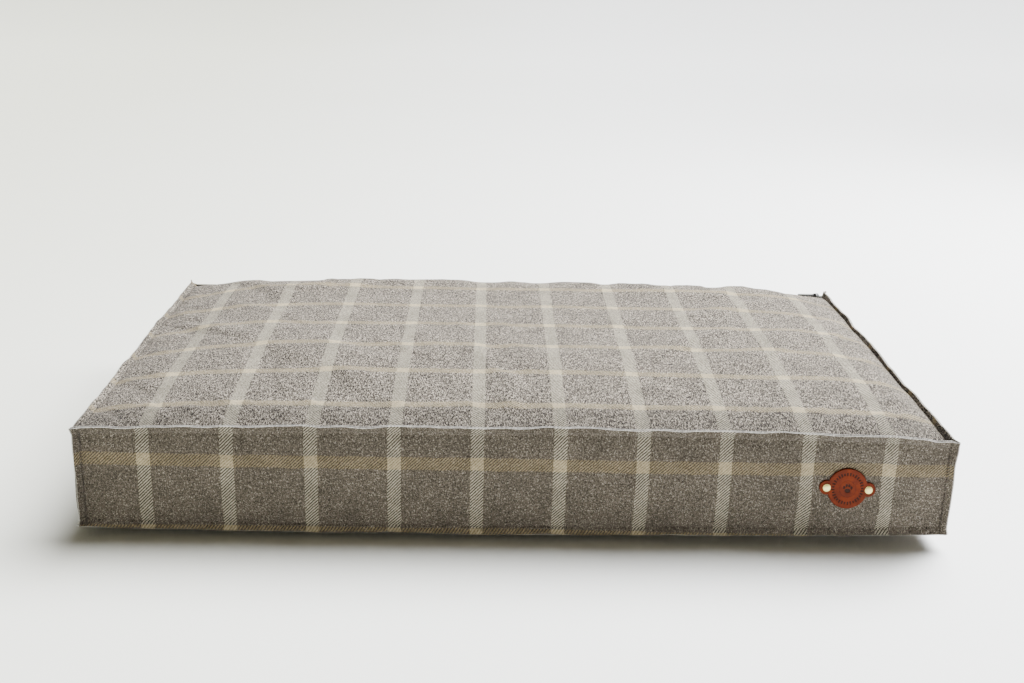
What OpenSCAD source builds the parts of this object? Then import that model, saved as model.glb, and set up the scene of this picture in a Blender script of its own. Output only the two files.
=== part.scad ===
// Box cushion bed for a pet: a zipped wool cover with flanged seams over a fibre-filled pad.
// Millimetres. X runs along the long side, -Y is the front, +Z is up.
// The origin is on the floor under the middle of the bed.

/* [Bed] */
// Width over the corner flanges
bed_w = 900; // [700:10:1200]
// Depth over the corner flanges
bed_d = 550; // [450:10:800]
// Height of the side bands from seam to seam
band_h = 92; // [70:1:130]
// Height that the top panel crowns above its seam
top_rise = 28; // [15:1:40]
// Height of the bottom seam above the floor
bottom_drop = 21; // [12:1:30]

/* [Cloth] */
// Thickness of the wool cloth
cloth_t = 1.6; // [1.2:0.1:2]
// Width of the stitched seam flanges
flange = 9; // [6:0.5:12]
// Lean of the top and bottom flanges away from the upright
flange_lean = 30; // [15:5:45]
// Diameter of the topstitching thread
thread_d = 0.8; // [0.5:0.1:1]

/* [Zip] */
// Width of the panel edge gap that shows the zip
zip_gap = 10; // [10:0.5:12]
// Thickness of the zip tape
tape_t = 0.6; // [0.4:0.1:0.7]
// Width of each coil
coil_w = 2.2; // [2:0.1:2.4]
// Height of each coil above its tape
coil_h = 1.9; // [1.6:0.1:2.2]
// Bare tape left beyond the stop at the open end
zip_bare = 21; // [20:1:40]
// Length of the slider body
slider_l = 11; // [10:0.5:12]
// Length of the pull tab from its bar
pull_l = 26; // [20:1:27]

/* [Badge] */
// Radius of the leather disc
badge_r = 21; // [18:0.5:25]
// Thickness of the leather
leather_t = 2.4; // [1.8:0.1:3]
// Distance of the badge from the middle of the front
badge_x = 340; // [0:10:350]
// Height of the badge above the floor
badge_z = 67; // [55:1:80]
// Distance of each rivet from the badge's middle
rivet_out = 21.8; // [20:0.1:26]
// Radius of the rivet caps
rivet_cap_r = 4; // [3:0.5:5]

/* [Pad] */
// Thickness of the cotton casing
casing_t = 0.5; // [0.3:0.1:0.8]
// Free space between the pad and the side bands
pad_gap = 3; // [2.5:0.5:6]

/* [Hidden] */
$fn = 48;

// Inner faces of the bands, and the heights of the two seams
corner_out = (flange + cloth_t) / sqrt(2);
half_w = bed_w / 2 - corner_out;
half_d = bed_d / 2 - corner_out;
seam_lo = bottom_drop;
seam_hi = bottom_drop + band_h;
lean_out = flange * sin(flange_lean);
lean_up = flange * cos(flange_lean);
// Room between the thread and the flange it lies on
thread_gap = 0.05;

// How sharply the cloth rises from its seams, along X and along Y
rise_x = 8;
rise_y = 5;
// Share of the rise at which the underside reaches the floor, and how round it gets there
floor_share = 0.7;
floor_round = 1.6;

// Zip: the middle line of its chain, the panel edge before it, and how far that fold bulges
zip_y = half_d - zip_gap / 2;
panel_back = half_d - zip_gap;
fold_out = 0.6;
// Half of the slot between the coils, and how far the tapes reach under the cloth
coil_slot = 0.8;
tape_under = 8;
tape_down = 14;
// The tapes stop short of the side bands; the coils run between the stops
zip_end = 1;
stop_l = 3;
coil_from = -half_w + zip_bare + stop_l;
coil_to = half_w - zip_end - stop_l;
// Slider: free play, plates, side walls and the wedge between the coils
slide_fit = 0.25;
plate_t = 1.1;
slider_half_w = 4.1;
side_wall_t = 0.8;
post_l = 2.4;
post_half_w = 0.5;
slider_x = coil_to - slider_l / 2 - 0.4;
slider_base = seam_hi + coil_h + slide_fit;
plate_top = slider_base + plate_t;
// Strap over the pull's bar: inner half length and height, wall, and half width
strap_in = 2.4;
strap_clear = 2.1;
strap_t = 1.2;
strap_half_w = 1.2;
// Pull tab: its bar, its thickness and the eye that clears the strap
bar_r = 0.8;
bar_z = plate_top + strap_clear / 2;
tab_half_w = 3.2;
tab_t = 1.2;
eye_l = 5.2;
eye_half_w = 1.7;

// Badge
ear_r = 7.35;
rivet_r = 1.5;
rivet_hole_r = 1.6;
rivet_cap_h = 1.6;
cap_dome_r = 8;
rivet_foot_h = 1;

// Pad: smaller than the cover all round and clear of the zip
pad_lower = 5;
pad_clear = 1;
pad_half_w = half_w - pad_gap;
pad_front = -half_d + pad_gap;
pad_back = half_d - zip_gap - 2;
fill_clear = 0.3;

wool = "#7b7269";
thread_grey = "#8d8880";
zip_black = "#1d1d1f";
tan_leather = "#a3502a";
brass = "#e0d3a0";
cotton = "#e9e4d8";
fibre = "#f5f4f0";

// Share of the full rise at a point, from 0 on the outline to 1 in the middle
function crown(x, y, hw, hd, y0) =
    max(0, 1 - pow(abs(x / hw), rise_x)) * max(0, 1 - pow(abs((y - y0) / hd), rise_y));

// Share of the drop left at a point of the underside, from 1 on the outline to 0 on the floor
function sag(share) = pow(max(0, 1 - share / floor_share), floor_round);

// Outline of a rectangle as [x, y] shares from -1 to 1, anticlockwise from the front left corner
function outline(nx, ny) = concat(
    [for (i = [0:nx - 1]) [-1 + 2 * i / nx, -1]],
    [for (i = [0:ny - 1]) [1, -1 + 2 * i / ny]],
    [for (i = [0:nx - 1]) [1 - 2 * i / nx, 1]],
    [for (i = [0:ny - 1]) [-1, 1 - 2 * i / ny]]
);
side_x = 18;
side_y = 12;
edge = outline(side_x, side_y);
edge_n = len(edge);
// Each ring of a sheet is the outline drawn smaller, closer together near the seam
rings = [1, 0.985, 0.96, 0.925, 0.88, 0.82, 0.74, 0.62, 0.42];

// Faces between ring k and ring k + 1 of a point list whose rings start at the index from
function band_faces(from, k, flip) = [
    for (i = [0:edge_n - 1], half = [0, 1])
        let (
            j = (i + 1) % edge_n,
            a = from + k * edge_n + i,
            b = from + k * edge_n + j,
            c = from + (k + 1) * edge_n + j,
            d = from + (k + 1) * edge_n + i,
            t = half == 0 ? [a, b, c] : [a, c, d]
        ) flip ? [t[2], t[1], t[0]] : t
];

// Closed solid between an upper and a lower set of rings, each with a middle point at its end
module ring_solid(upper, lower, count) {
    up_mid = len(upper) - 1;
    low_from = len(upper);
    low_mid = low_from + len(lower) - 1;
    last = (count - 1) * edge_n;
    faces = concat(
        [for (k = [0:count - 2]) each band_faces(0, k, true)],
        [for (k = [0:count - 2]) each band_faces(low_from, k, false)],
        [for (i = [0:edge_n - 1]) [up_mid, last + (i + 1) % edge_n, last + i]],
        [for (i = [0:edge_n - 1]) [low_mid, low_from + last + i, low_from + last + (i + 1) % edge_n]],
        [for (i = [0:edge_n - 1], half = [0, 1])
            let (j = (i + 1) % edge_n)
            half == 0 ? [i, j, low_from + i] : [j, low_from + j, low_from + i]]
    );
    polyhedron(points = concat(upper, lower), faces = faces);
}

// Ring points of a crowned sheet over the rectangle of half sizes hw and hd about y0
function sheet_points(hw, hd, y0, height) = concat(
    [for (s = rings, p = edge)
        let (x = s * p[0] * hw, y = y0 + s * p[1] * hd)
        [x, y, height(crown(x, y, hw, hd, y0))]],
    [[0, y0, height(1)]]
);

// Ring of flange tips of a panel, leaning out past the seam; the zip side has a short folded nose
function tip_ring(hw, hd, y0, z, rise, out, zip_side) = [
    for (p = edge)
        let (
            on_x = abs(p[0]) == 1,
            on_y = abs(p[1]) == 1,
            folded = zip_side && p[1] == 1 && !on_x
        )
        folded
            ? [p[0] * hw, y0 + hd + fold_out, z]
            : [
                p[0] * hw + (on_x ? sign(p[0]) * out : 0),
                y0 + p[1] * hd + (on_y && !(zip_side && p[1] == 1) ? sign(p[1]) * out : 0),
                z + rise
            ]
];

module top_panel() {
    hd = (half_d + panel_back) / 2;
    y0 = (panel_back - half_d) / 2;
    inner = cloth_t * tan(45 - flange_lean / 2);
    upper = sheet_points(half_w - inner, hd - inner, y0, function (c) seam_hi + cloth_t + c * top_rise);
    lower = sheet_points(half_w, hd, y0, function (c) seam_hi + c * top_rise);
    upper_tips = tip_ring(half_w, hd, y0, seam_hi + cloth_t * 0.6, lean_up - cloth_t * 0.6, lean_out - cloth_t, true);
    lower_tips = tip_ring(half_w, hd, y0, seam_hi + cloth_t * 0.3, lean_up - cloth_t * 0.3, lean_out, true);
    color(wool)
        ring_solid(concat(upper_tips, upper), concat(lower_tips, lower), len(rings) + 1);
}

module bottom_panel() {
    inner = cloth_t * tan(45 - flange_lean / 2);
    upper = sheet_points(half_w, half_d, 0, function (c) cloth_t + bottom_drop * sag(c) - cloth_t * sag(c));
    lower = sheet_points(half_w - inner, half_d - inner, 0, function (c) (bottom_drop - cloth_t) * sag(c));
    upper_tips = tip_ring(half_w, half_d, 0, seam_lo, -lean_up, lean_out, false);
    lower_tips = tip_ring(half_w, half_d, 0, seam_lo, -lean_up, lean_out - cloth_t, false);
    color(wool)
        ring_solid(concat(upper_tips, upper), concat(lower_tips, lower), len(rings) + 1);
}

// Section of a band in its own plane: x is outwards, y is up
module band_section(top_flange) {
    bend = cloth_t * (1 - cos(flange_lean)) / sin(flange_lean);
    out_x = cloth_t * cos(flange_lean);
    out_z = cloth_t * sin(flange_lean);
    low = [
        [0, seam_lo],
        [lean_out, seam_lo - lean_up],
        [lean_out + out_x, seam_lo - lean_up + out_z],
        [cloth_t, seam_lo - bend * cos(flange_lean) + out_z]
    ];
    high = top_flange
        ? [
            [cloth_t, seam_hi + bend * cos(flange_lean) - out_z],
            [lean_out + out_x, seam_hi + lean_up - out_z],
            [lean_out, seam_hi + lean_up],
            [0, seam_hi]
        ]
        : [[cloth_t, seam_hi + cloth_t], [0, seam_hi + cloth_t]];
    polygon(concat(low, high));
}

// Band of a side whose inner face is at -Y: a mitred strip with a flange at both upright ends
module band(half_l, inner, top_flange) {
    height = seam_hi + 2 * flange;
    intersection() {
        translate([-half_l - 2 * flange, -inner, 0])
            rotate([90, 0, 90])
                mirror([1, 0, 0])
                    linear_extrude(height = 2 * half_l + 4 * flange)
                        band_section(top_flange);
        linear_extrude(height = height)
            polygon([
                [-half_l, -inner], [-half_l - 2 * flange, -inner - 2 * flange],
                [half_l + 2 * flange, -inner - 2 * flange], [half_l, -inner]
            ]);
    }
    for (side = [-1, 1])
        translate([side * half_l, -inner, seam_lo])
            linear_extrude(height = band_h)
                polygon([
                    [0, 0],
                    [side * flange / sqrt(2), -flange / sqrt(2)],
                    [side * (flange - cloth_t) / sqrt(2), -(flange + cloth_t) / sqrt(2)],
                    [side * cloth_t * (1 - sqrt(2)), -cloth_t],
                    [side * -cloth_t, -cloth_t],
                    [side * -cloth_t, 0]
                ]);
}

module rivet_spots() {
    for (side = [-1, 1])
        translate([badge_x + side * rivet_out, 0, badge_z])
            children();
}

module front_band() {
    color(wool)
        difference() {
            band(half_w, half_d, true);
            rivet_spots()
                translate([0, -half_d + 1, 0])
                    rotate([90, 0, 0])
                        cylinder(r = rivet_hole_r, h = cloth_t + 2);
        }
}

module back_band() {
    color(wool) rotate([0, 0, 180]) band(half_w, half_d, false);
}

module left_band() {
    color(wool) rotate([0, 0, -90]) band(half_d, half_w, true);
}

module right_band() {
    color(wool) rotate([0, 0, 90]) band(half_d, half_w, true);
}

// Thread along one side of the bed, on both faces of its flange; up is 1 at the top, -1 below
module seam_thread(half_l, inner, z, up) {
    along = flange / 3;
    off = cloth_t + thread_d / 2 + thread_gap;
    for (face = [-1, 1])
        translate([
            -half_l + 4 * flange / 3,
            -inner - along * sin(flange_lean) - face * off * cos(flange_lean),
            z + up * (along * cos(flange_lean) - face * off * sin(flange_lean))
        ])
            rotate([0, 90, 0])
                cylinder(d = thread_d, h = 2 * half_l - 8 * flange / 3, $fn = 16);
}

module topstitch_top() {
    color(thread_grey) {
        seam_thread(half_w, half_d, seam_hi, 1);
        for (side = [-90, 90])
            rotate([0, 0, side])
                seam_thread(half_d, half_w, seam_hi, 1);
    }
}

module topstitch_bottom() {
    color(thread_grey)
        for (turn = [0, 180]) {
            rotate([0, 0, turn]) seam_thread(half_w, half_d, seam_lo, -1);
            rotate([0, 0, turn + 90]) seam_thread(half_d, half_w, seam_lo, -1);
        }
}

module topstitch_corners() {
    along = flange * 0.6;
    off = cloth_t + thread_d / 2 + thread_gap;
    color(thread_grey)
        for (sx = [-1, 1], sy = [-1, 1], face = [-1, 1])
            translate([
                sx * (half_w + (along + face * off) / sqrt(2)),
                sy * (half_d + (along - face * off) / sqrt(2)),
                seam_lo + flange
            ])
                cylinder(d = thread_d, h = band_h - 2 * flange, $fn = 16);
}

module zip_tape_front() {
    color(zip_black)
        translate([-half_w + zip_end, panel_back - tape_under, seam_hi - tape_t])
            cube([2 * (half_w - zip_end), tape_under + zip_gap / 2 - coil_slot, tape_t]);
}

module zip_tape_rear() {
    color(zip_black)
        translate([-half_w + zip_end, 0, 0])
            rotate([90, 0, 90])
                linear_extrude(height = 2 * (half_w - zip_end))
                    polygon([
                        [zip_y + coil_slot, seam_hi],
                        [zip_y + coil_slot, seam_hi - tape_t],
                        [half_d - tape_t, seam_hi - tape_t],
                        [half_d - tape_t, seam_hi - tape_down],
                        [half_d, seam_hi - tape_down],
                        [half_d, seam_hi]
                    ]);
}

// One row of the coil, standing on the inner edge of its tape; side is -1 in front, 1 behind
module zip_coil(side) {
    color(zip_black)
        translate([coil_from, zip_y + side * (coil_slot + coil_w / 2) - coil_w / 2, seam_hi])
            cube([coil_to - coil_from, coil_w, coil_h]);
}

module zip_coil_front() { zip_coil(-1); }
module zip_coil_rear() { zip_coil(1); }

// A clip on each tape that ends the slider's travel where the zip is closed
module zip_top_stops() {
    color(zip_black)
        for (side = [-1, 1])
            translate([coil_to, zip_y + side * (coil_slot + coil_w / 2) - coil_w / 2, seam_hi])
                cube([stop_l, coil_w, coil_h]);
}

// One clip across both tapes where the zip is open
module zip_bottom_stop() {
    half = coil_slot + coil_w;
    color(zip_black)
        translate([coil_from - stop_l, zip_y - half, seam_hi])
            cube([stop_l, 2 * half, coil_h]);
}

// Slider: two plates round the chain, joined by the wedge that parts the coils, with a strap on top
module zip_slider() {
    lower_top = seam_hi - tape_t - slide_fit;
    bite = 0.1;
    color(zip_black)
        translate([slider_x, zip_y, 0]) {
            for (z = [slider_base, lower_top - plate_t])
                translate([-slider_l / 2, -slider_half_w, z])
                    cube([slider_l, 2 * slider_half_w, plate_t]);
            translate([slider_l / 2 - 1.25 * post_l, -post_half_w, lower_top - bite])
                cube([post_l, 2 * post_half_w, slider_base - lower_top + 2 * bite]);
            for (y = [-slider_half_w, slider_half_w - side_wall_t])
                translate([-slider_l / 2, y, seam_hi + slide_fit])
                    cube([slider_l, side_wall_t, coil_h + bite]);
            translate([0, strap_half_w, plate_top])
                rotate([90, 0, 0])
                    linear_extrude(height = 2 * strap_half_w)
                        difference() {
                            union() {
                                translate([-strap_in - strap_t, -bite])
                                    square([2 * (strap_in + strap_t), strap_clear + bite]);
                                translate([-strap_in, 0])
                                    square([2 * strap_in, strap_clear + strap_t]);
                                for (side = [-1, 1])
                                    translate([side * strap_in, strap_clear]) circle(r = strap_t);
                            }
                            translate([-strap_in, 0]) square([2 * strap_in, strap_clear]);
                        }
        }
}

// Pull tab: a flat tab with an eye; the bar across the end of the eye turns under the strap
module zip_pull() {
    color(zip_black)
        translate([slider_x, zip_y, bar_z]) {
            translate([0, tab_half_w, 0])
                rotate([90, 0, 0])
                    cylinder(r = bar_r, h = 2 * tab_half_w);
            difference() {
                translate([-pull_l + tab_half_w, -tab_half_w, -tab_t / 2])
                    cube([pull_l - tab_half_w, 2 * tab_half_w, tab_t]);
                translate([-eye_l, -eye_half_w, -tab_t])
                    cube([eye_l + bar_r, 2 * eye_half_w, 2 * tab_t]);
            }
            translate([-pull_l + tab_half_w, 0, -tab_t / 2])
                cylinder(r = tab_half_w, h = tab_t);
        }
}

module leather_badge() {
    color(tan_leather)
        translate([badge_x, -half_d - cloth_t, badge_z])
            rotate([90, 0, 0])
                linear_extrude(height = leather_t)
                    difference() {
                        union() {
                            circle(r = badge_r, $fn = 96);
                            for (side = [-1, 1])
                                translate([side * rivet_out, 0]) circle(r = ear_r);
                        }
                        for (side = [-1, 1])
                            translate([side * rivet_out, 0]) circle(r = rivet_hole_r);
                    }
}

// Domed caps on the face of the badge
module rivet_caps() {
    color(brass)
        rivet_spots()
            translate([0, -half_d - cloth_t - leather_t, 0])
                rotate([90, 0, 0])
                    rotate_extrude()
                        intersection() {
                            square([rivet_cap_r, rivet_cap_h]);
                            translate([0, rivet_cap_h - cap_dome_r]) circle(r = cap_dome_r, $fn = 96);
                        }
}

// Posts through badge and band, each with a flat foot inside the cover
module rivet_posts() {
    color(brass)
        rivet_spots()
            translate([0, -half_d, 0])
                rotate([90, 0, 0]) {
                    cylinder(r = rivet_r, h = cloth_t + leather_t);
                    translate([0, 0, -rivet_foot_h]) cylinder(r = rivet_cap_r, h = rivet_foot_h);
                }
}

pad_hd = (pad_back - pad_front) / 2;
pad_y0 = (pad_back + pad_front) / 2;
pad_seam_hi = seam_hi - pad_lower;
pad_seam_lo = seam_lo + pad_lower;
pad_rise = top_rise + pad_lower - pad_clear;
pad_floor = cloth_t + pad_clear;

module pad_casing_top() {
    outer = sheet_points(pad_half_w, pad_hd, pad_y0, function (c) pad_seam_hi + c * pad_rise);
    inner = sheet_points(pad_half_w, pad_hd, pad_y0, function (c) pad_seam_hi - casing_t + c * pad_rise);
    color(cotton) ring_solid(outer, inner, len(rings));
}

module pad_casing_bottom() {
    drop = pad_seam_lo - pad_floor;
    inner = sheet_points(pad_half_w, pad_hd, pad_y0, function (c) pad_floor + casing_t + drop * sag(c));
    outer = sheet_points(pad_half_w, pad_hd, pad_y0, function (c) pad_floor + drop * sag(c));
    color(cotton) ring_solid(inner, outer, len(rings));
}

module pad_casing_boxing() {
    low = pad_seam_lo + casing_t;
    high = pad_seam_hi - casing_t;
    color(cotton)
        translate([0, pad_y0, low])
            difference() {
                translate([-pad_half_w, -pad_hd, 0])
                    cube([2 * pad_half_w, 2 * pad_hd, high - low]);
                translate([-pad_half_w + casing_t, -pad_hd + casing_t, -1])
                    cube([2 * (pad_half_w - casing_t), 2 * (pad_hd - casing_t), high - low + 2]);
            }
}

module fibre_filling() {
    gap = casing_t + fill_clear;
    hw = pad_half_w - gap;
    hd = pad_hd - gap;
    drop = pad_seam_lo - pad_floor;
    upper = sheet_points(hw, hd, pad_y0, function (c) pad_seam_hi - 2 * gap + c * (pad_rise - gap));
    lower = sheet_points(hw, hd, pad_y0, function (c) pad_floor + gap + (drop + gap) * sag(c));
    color(fibre) ring_solid(upper, lower, len(rings));
}

top_panel();
bottom_panel();
front_band();
back_band();
left_band();
right_band();
topstitch_top();
topstitch_bottom();
topstitch_corners();
zip_tape_front();
zip_tape_rear();
zip_coil_front();
zip_coil_rear();
zip_top_stops();
zip_bottom_stop();
zip_slider();
zip_pull();
leather_badge();
rivet_caps();
rivet_posts();
pad_casing_top();
pad_casing_bottom();
pad_casing_boxing();
fibre_filling();
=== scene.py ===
"""The looks of a box-cushion pet bed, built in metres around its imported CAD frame.

A checked wool cover with flanged, topstitched seams, a black zip along the back, a riveted leather
badge, and a cotton pad filled with fibre. X runs along the long side, -Y is the front, +Z is up.
"""

import logging
import math
from dataclasses import dataclass, field
from enum import Enum
from typing import Any, Sequence

import bpy
import numpy as np
from mathutils import Matrix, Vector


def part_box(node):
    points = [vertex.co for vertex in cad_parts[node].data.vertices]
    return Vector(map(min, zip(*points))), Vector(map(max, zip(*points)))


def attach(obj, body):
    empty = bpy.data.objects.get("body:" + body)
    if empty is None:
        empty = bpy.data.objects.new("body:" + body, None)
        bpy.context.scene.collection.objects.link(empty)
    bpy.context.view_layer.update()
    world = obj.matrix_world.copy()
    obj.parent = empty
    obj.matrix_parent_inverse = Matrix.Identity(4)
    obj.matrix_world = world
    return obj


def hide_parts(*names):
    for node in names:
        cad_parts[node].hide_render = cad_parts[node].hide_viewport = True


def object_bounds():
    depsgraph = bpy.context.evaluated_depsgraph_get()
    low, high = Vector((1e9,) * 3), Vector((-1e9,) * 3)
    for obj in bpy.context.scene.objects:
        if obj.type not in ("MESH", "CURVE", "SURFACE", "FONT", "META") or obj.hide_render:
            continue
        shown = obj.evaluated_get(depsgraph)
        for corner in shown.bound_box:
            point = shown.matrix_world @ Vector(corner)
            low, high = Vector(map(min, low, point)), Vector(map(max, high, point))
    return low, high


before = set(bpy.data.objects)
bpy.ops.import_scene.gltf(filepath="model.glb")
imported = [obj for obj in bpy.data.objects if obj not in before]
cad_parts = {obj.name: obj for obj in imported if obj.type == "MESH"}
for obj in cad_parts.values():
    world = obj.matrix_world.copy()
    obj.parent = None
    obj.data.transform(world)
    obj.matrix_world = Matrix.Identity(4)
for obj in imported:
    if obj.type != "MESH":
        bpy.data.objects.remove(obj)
cad_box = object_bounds()

log = logging.getLogger("pet_bed")
Array = np.ndarray
MM = 0.001


# ---------------------------------------------------------------- shaders

class Signal:
    """One output socket of a shader, on which Python's operators add Math nodes."""

    def __init__(self, shader: "Shader", socket: bpy.types.NodeSocket | None) -> None:
        """Wraps a socket.

        Args:
            shader: The material that the socket is in.
            socket: The output that this value comes from, or None after a node that has none.
        """
        self.shader = shader
        self.socket = socket

    def math(self, operation: str, *others: Any) -> "Signal":
        """Returns the result of a Math node on this value and others."""
        return self.shader.add("ShaderNodeMath", {"operation": operation}, [self, *others])

    def __add__(self, other: Any) -> "Signal":
        """Returns self + other."""
        return self.math("ADD", other)

    def __sub__(self, other: Any) -> "Signal":
        """Returns self - other."""
        return self.math("SUBTRACT", other)

    def __mul__(self, other: Any) -> "Signal":
        """Returns self * other."""
        return self.math("MULTIPLY", other)

    def __truediv__(self, other: Any) -> "Signal":
        """Returns self / other."""
        return self.math("DIVIDE", other)

    def __mod__(self, other: Any) -> "Signal":
        """Returns the part of self past a whole number of others, never negative."""
        return self.math("FLOORED_MODULO", other)

    def __rsub__(self, other: Any) -> "Signal":
        """Returns other - self."""
        return self.shader.add("ShaderNodeMath", {"operation": "SUBTRACT"}, [other, self])

    __radd__ = __add__
    __rmul__ = __mul__

    def floor(self) -> "Signal":
        """Returns the whole number below."""
        return self.math("FLOOR")

    def size(self) -> "Signal":
        """Returns the value without its sign."""
        return self.math("ABSOLUTE")

    def ramp(self, low: float, high: float, first: float = 0.0, last: float = 1.0) -> "Signal":
        """Returns a smooth step from first to last as the value goes from low to high."""
        settings = {"interpolation_type": "SMOOTHSTEP"}
        values = {"Value": self, "From Min": low, "From Max": high, "To Min": first, "To Max": last}
        return self.shader.add("ShaderNodeMapRange", settings, values)


class Shader:
    """A material's nodes. Every node comes from the one method add."""

    def __init__(self, name: str) -> None:
        """Makes an empty material with an output.

        Args:
            name: The material's name.
        """
        self.material = bpy.data.materials.new(name)
        self.material.use_nodes = True
        self.tree = self.material.node_tree
        self.tree.nodes.clear()

    def add(
        self,
        kind: str,
        settings: dict[str, Any] | None = None,
        values: Sequence[Any] | dict[int | str, Any] = (),
        output: int | str = 0,
    ) -> Signal:
        """Adds one node.

        Args:
            kind: The node's type.
            settings: Its properties, set before its sockets. "stops" gives a ramp's (place, colour) pairs.
            values: A number, colour or Signal for each socket, in order, or by name or number.
            output: Which output the returned value comes from.

        Returns:
            The node's output as a value.
        """
        node = self.tree.nodes.new(kind)
        for key, value in (settings or {}).items():
            if key == "stops":
                self._set_stops(node.color_ramp, value)
            else:
                setattr(node, key, value)
        pairs = values.items() if isinstance(values, dict) else enumerate(values)
        for key, value in pairs:
            if isinstance(value, Signal):
                self.tree.links.new(value.socket, node.inputs[key])
            else:
                node.inputs[key].default_value = value
        return Signal(self, node.outputs[output] if node.outputs else None)

    @staticmethod
    def _set_stops(ramp: bpy.types.ColorRamp, stops: Sequence[tuple[float, Sequence[float]]]) -> None:
        """Gives a colour ramp its stops.

        Args:
            ramp: The ramp.
            stops: (place, colour) pairs from low to high.
        """
        while len(ramp.elements) < len(stops):
            ramp.elements.new(0.5)
        for element, (place, colour) in zip(ramp.elements, stops):
            element.position = place
            element.color = (*colour, 1.0)

    def axes(self, vector: Signal) -> tuple[Signal, Signal, Signal]:
        """Returns the three parts of a vector."""
        split = self.add("ShaderNodeSeparateXYZ", values=[vector])
        node = split.socket.node
        return tuple(Signal(self, socket) for socket in node.outputs)

    def vector(self, x: Any, y: Any, z: Any = 0.0) -> Signal:
        """Returns a vector of three values."""
        return self.add("ShaderNodeCombineXYZ", values=[x, y, z])

    def place(self) -> Signal:
        """Returns the point on the object, in metres."""
        return self.add("ShaderNodeTexCoord", output="Object")

    def noise(self, where: Signal, scale: float, detail: float = 2.0, rough: float = 0.5) -> Signal:
        """Returns smooth noise from 0 to 1, with scale features in each unit of where."""
        values = {"Vector": where, "Scale": scale, "Detail": detail, "Roughness": rough}
        return self.add("ShaderNodeTexNoise", values=values)

    def mix(self, share: Any, first: Any, second: Any) -> Signal:
        """Returns a colour that goes from first to second as share goes from 0 to 1."""
        a, b = ((*c, 1.0) if isinstance(c, tuple) else c for c in (first, second))
        return self.add("ShaderNodeMix", {"data_type": "RGBA"}, {0: share, 6: a, 7: b}, output=2)

    def bump(self, height: Signal, distance: float, strength: float = 1.0) -> Signal:
        """Returns a normal tilted by a height that runs from 0 to 1 over distance metres."""
        values = {"Height": height, "Distance": distance, "Strength": strength}
        return self.add("ShaderNodeBump", values=values)

    def finish(self, surface: dict[str, Any]) -> bpy.types.Material:
        """Joins the surface to the output.

        Args:
            surface: Values for the sockets of a Principled BSDF.

        Returns:
            The finished material.
        """
        body = self.add("ShaderNodeBsdfPrincipled", values=surface)
        self.add("ShaderNodeOutputMaterial", values={"Surface": body})
        return self.material


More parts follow.
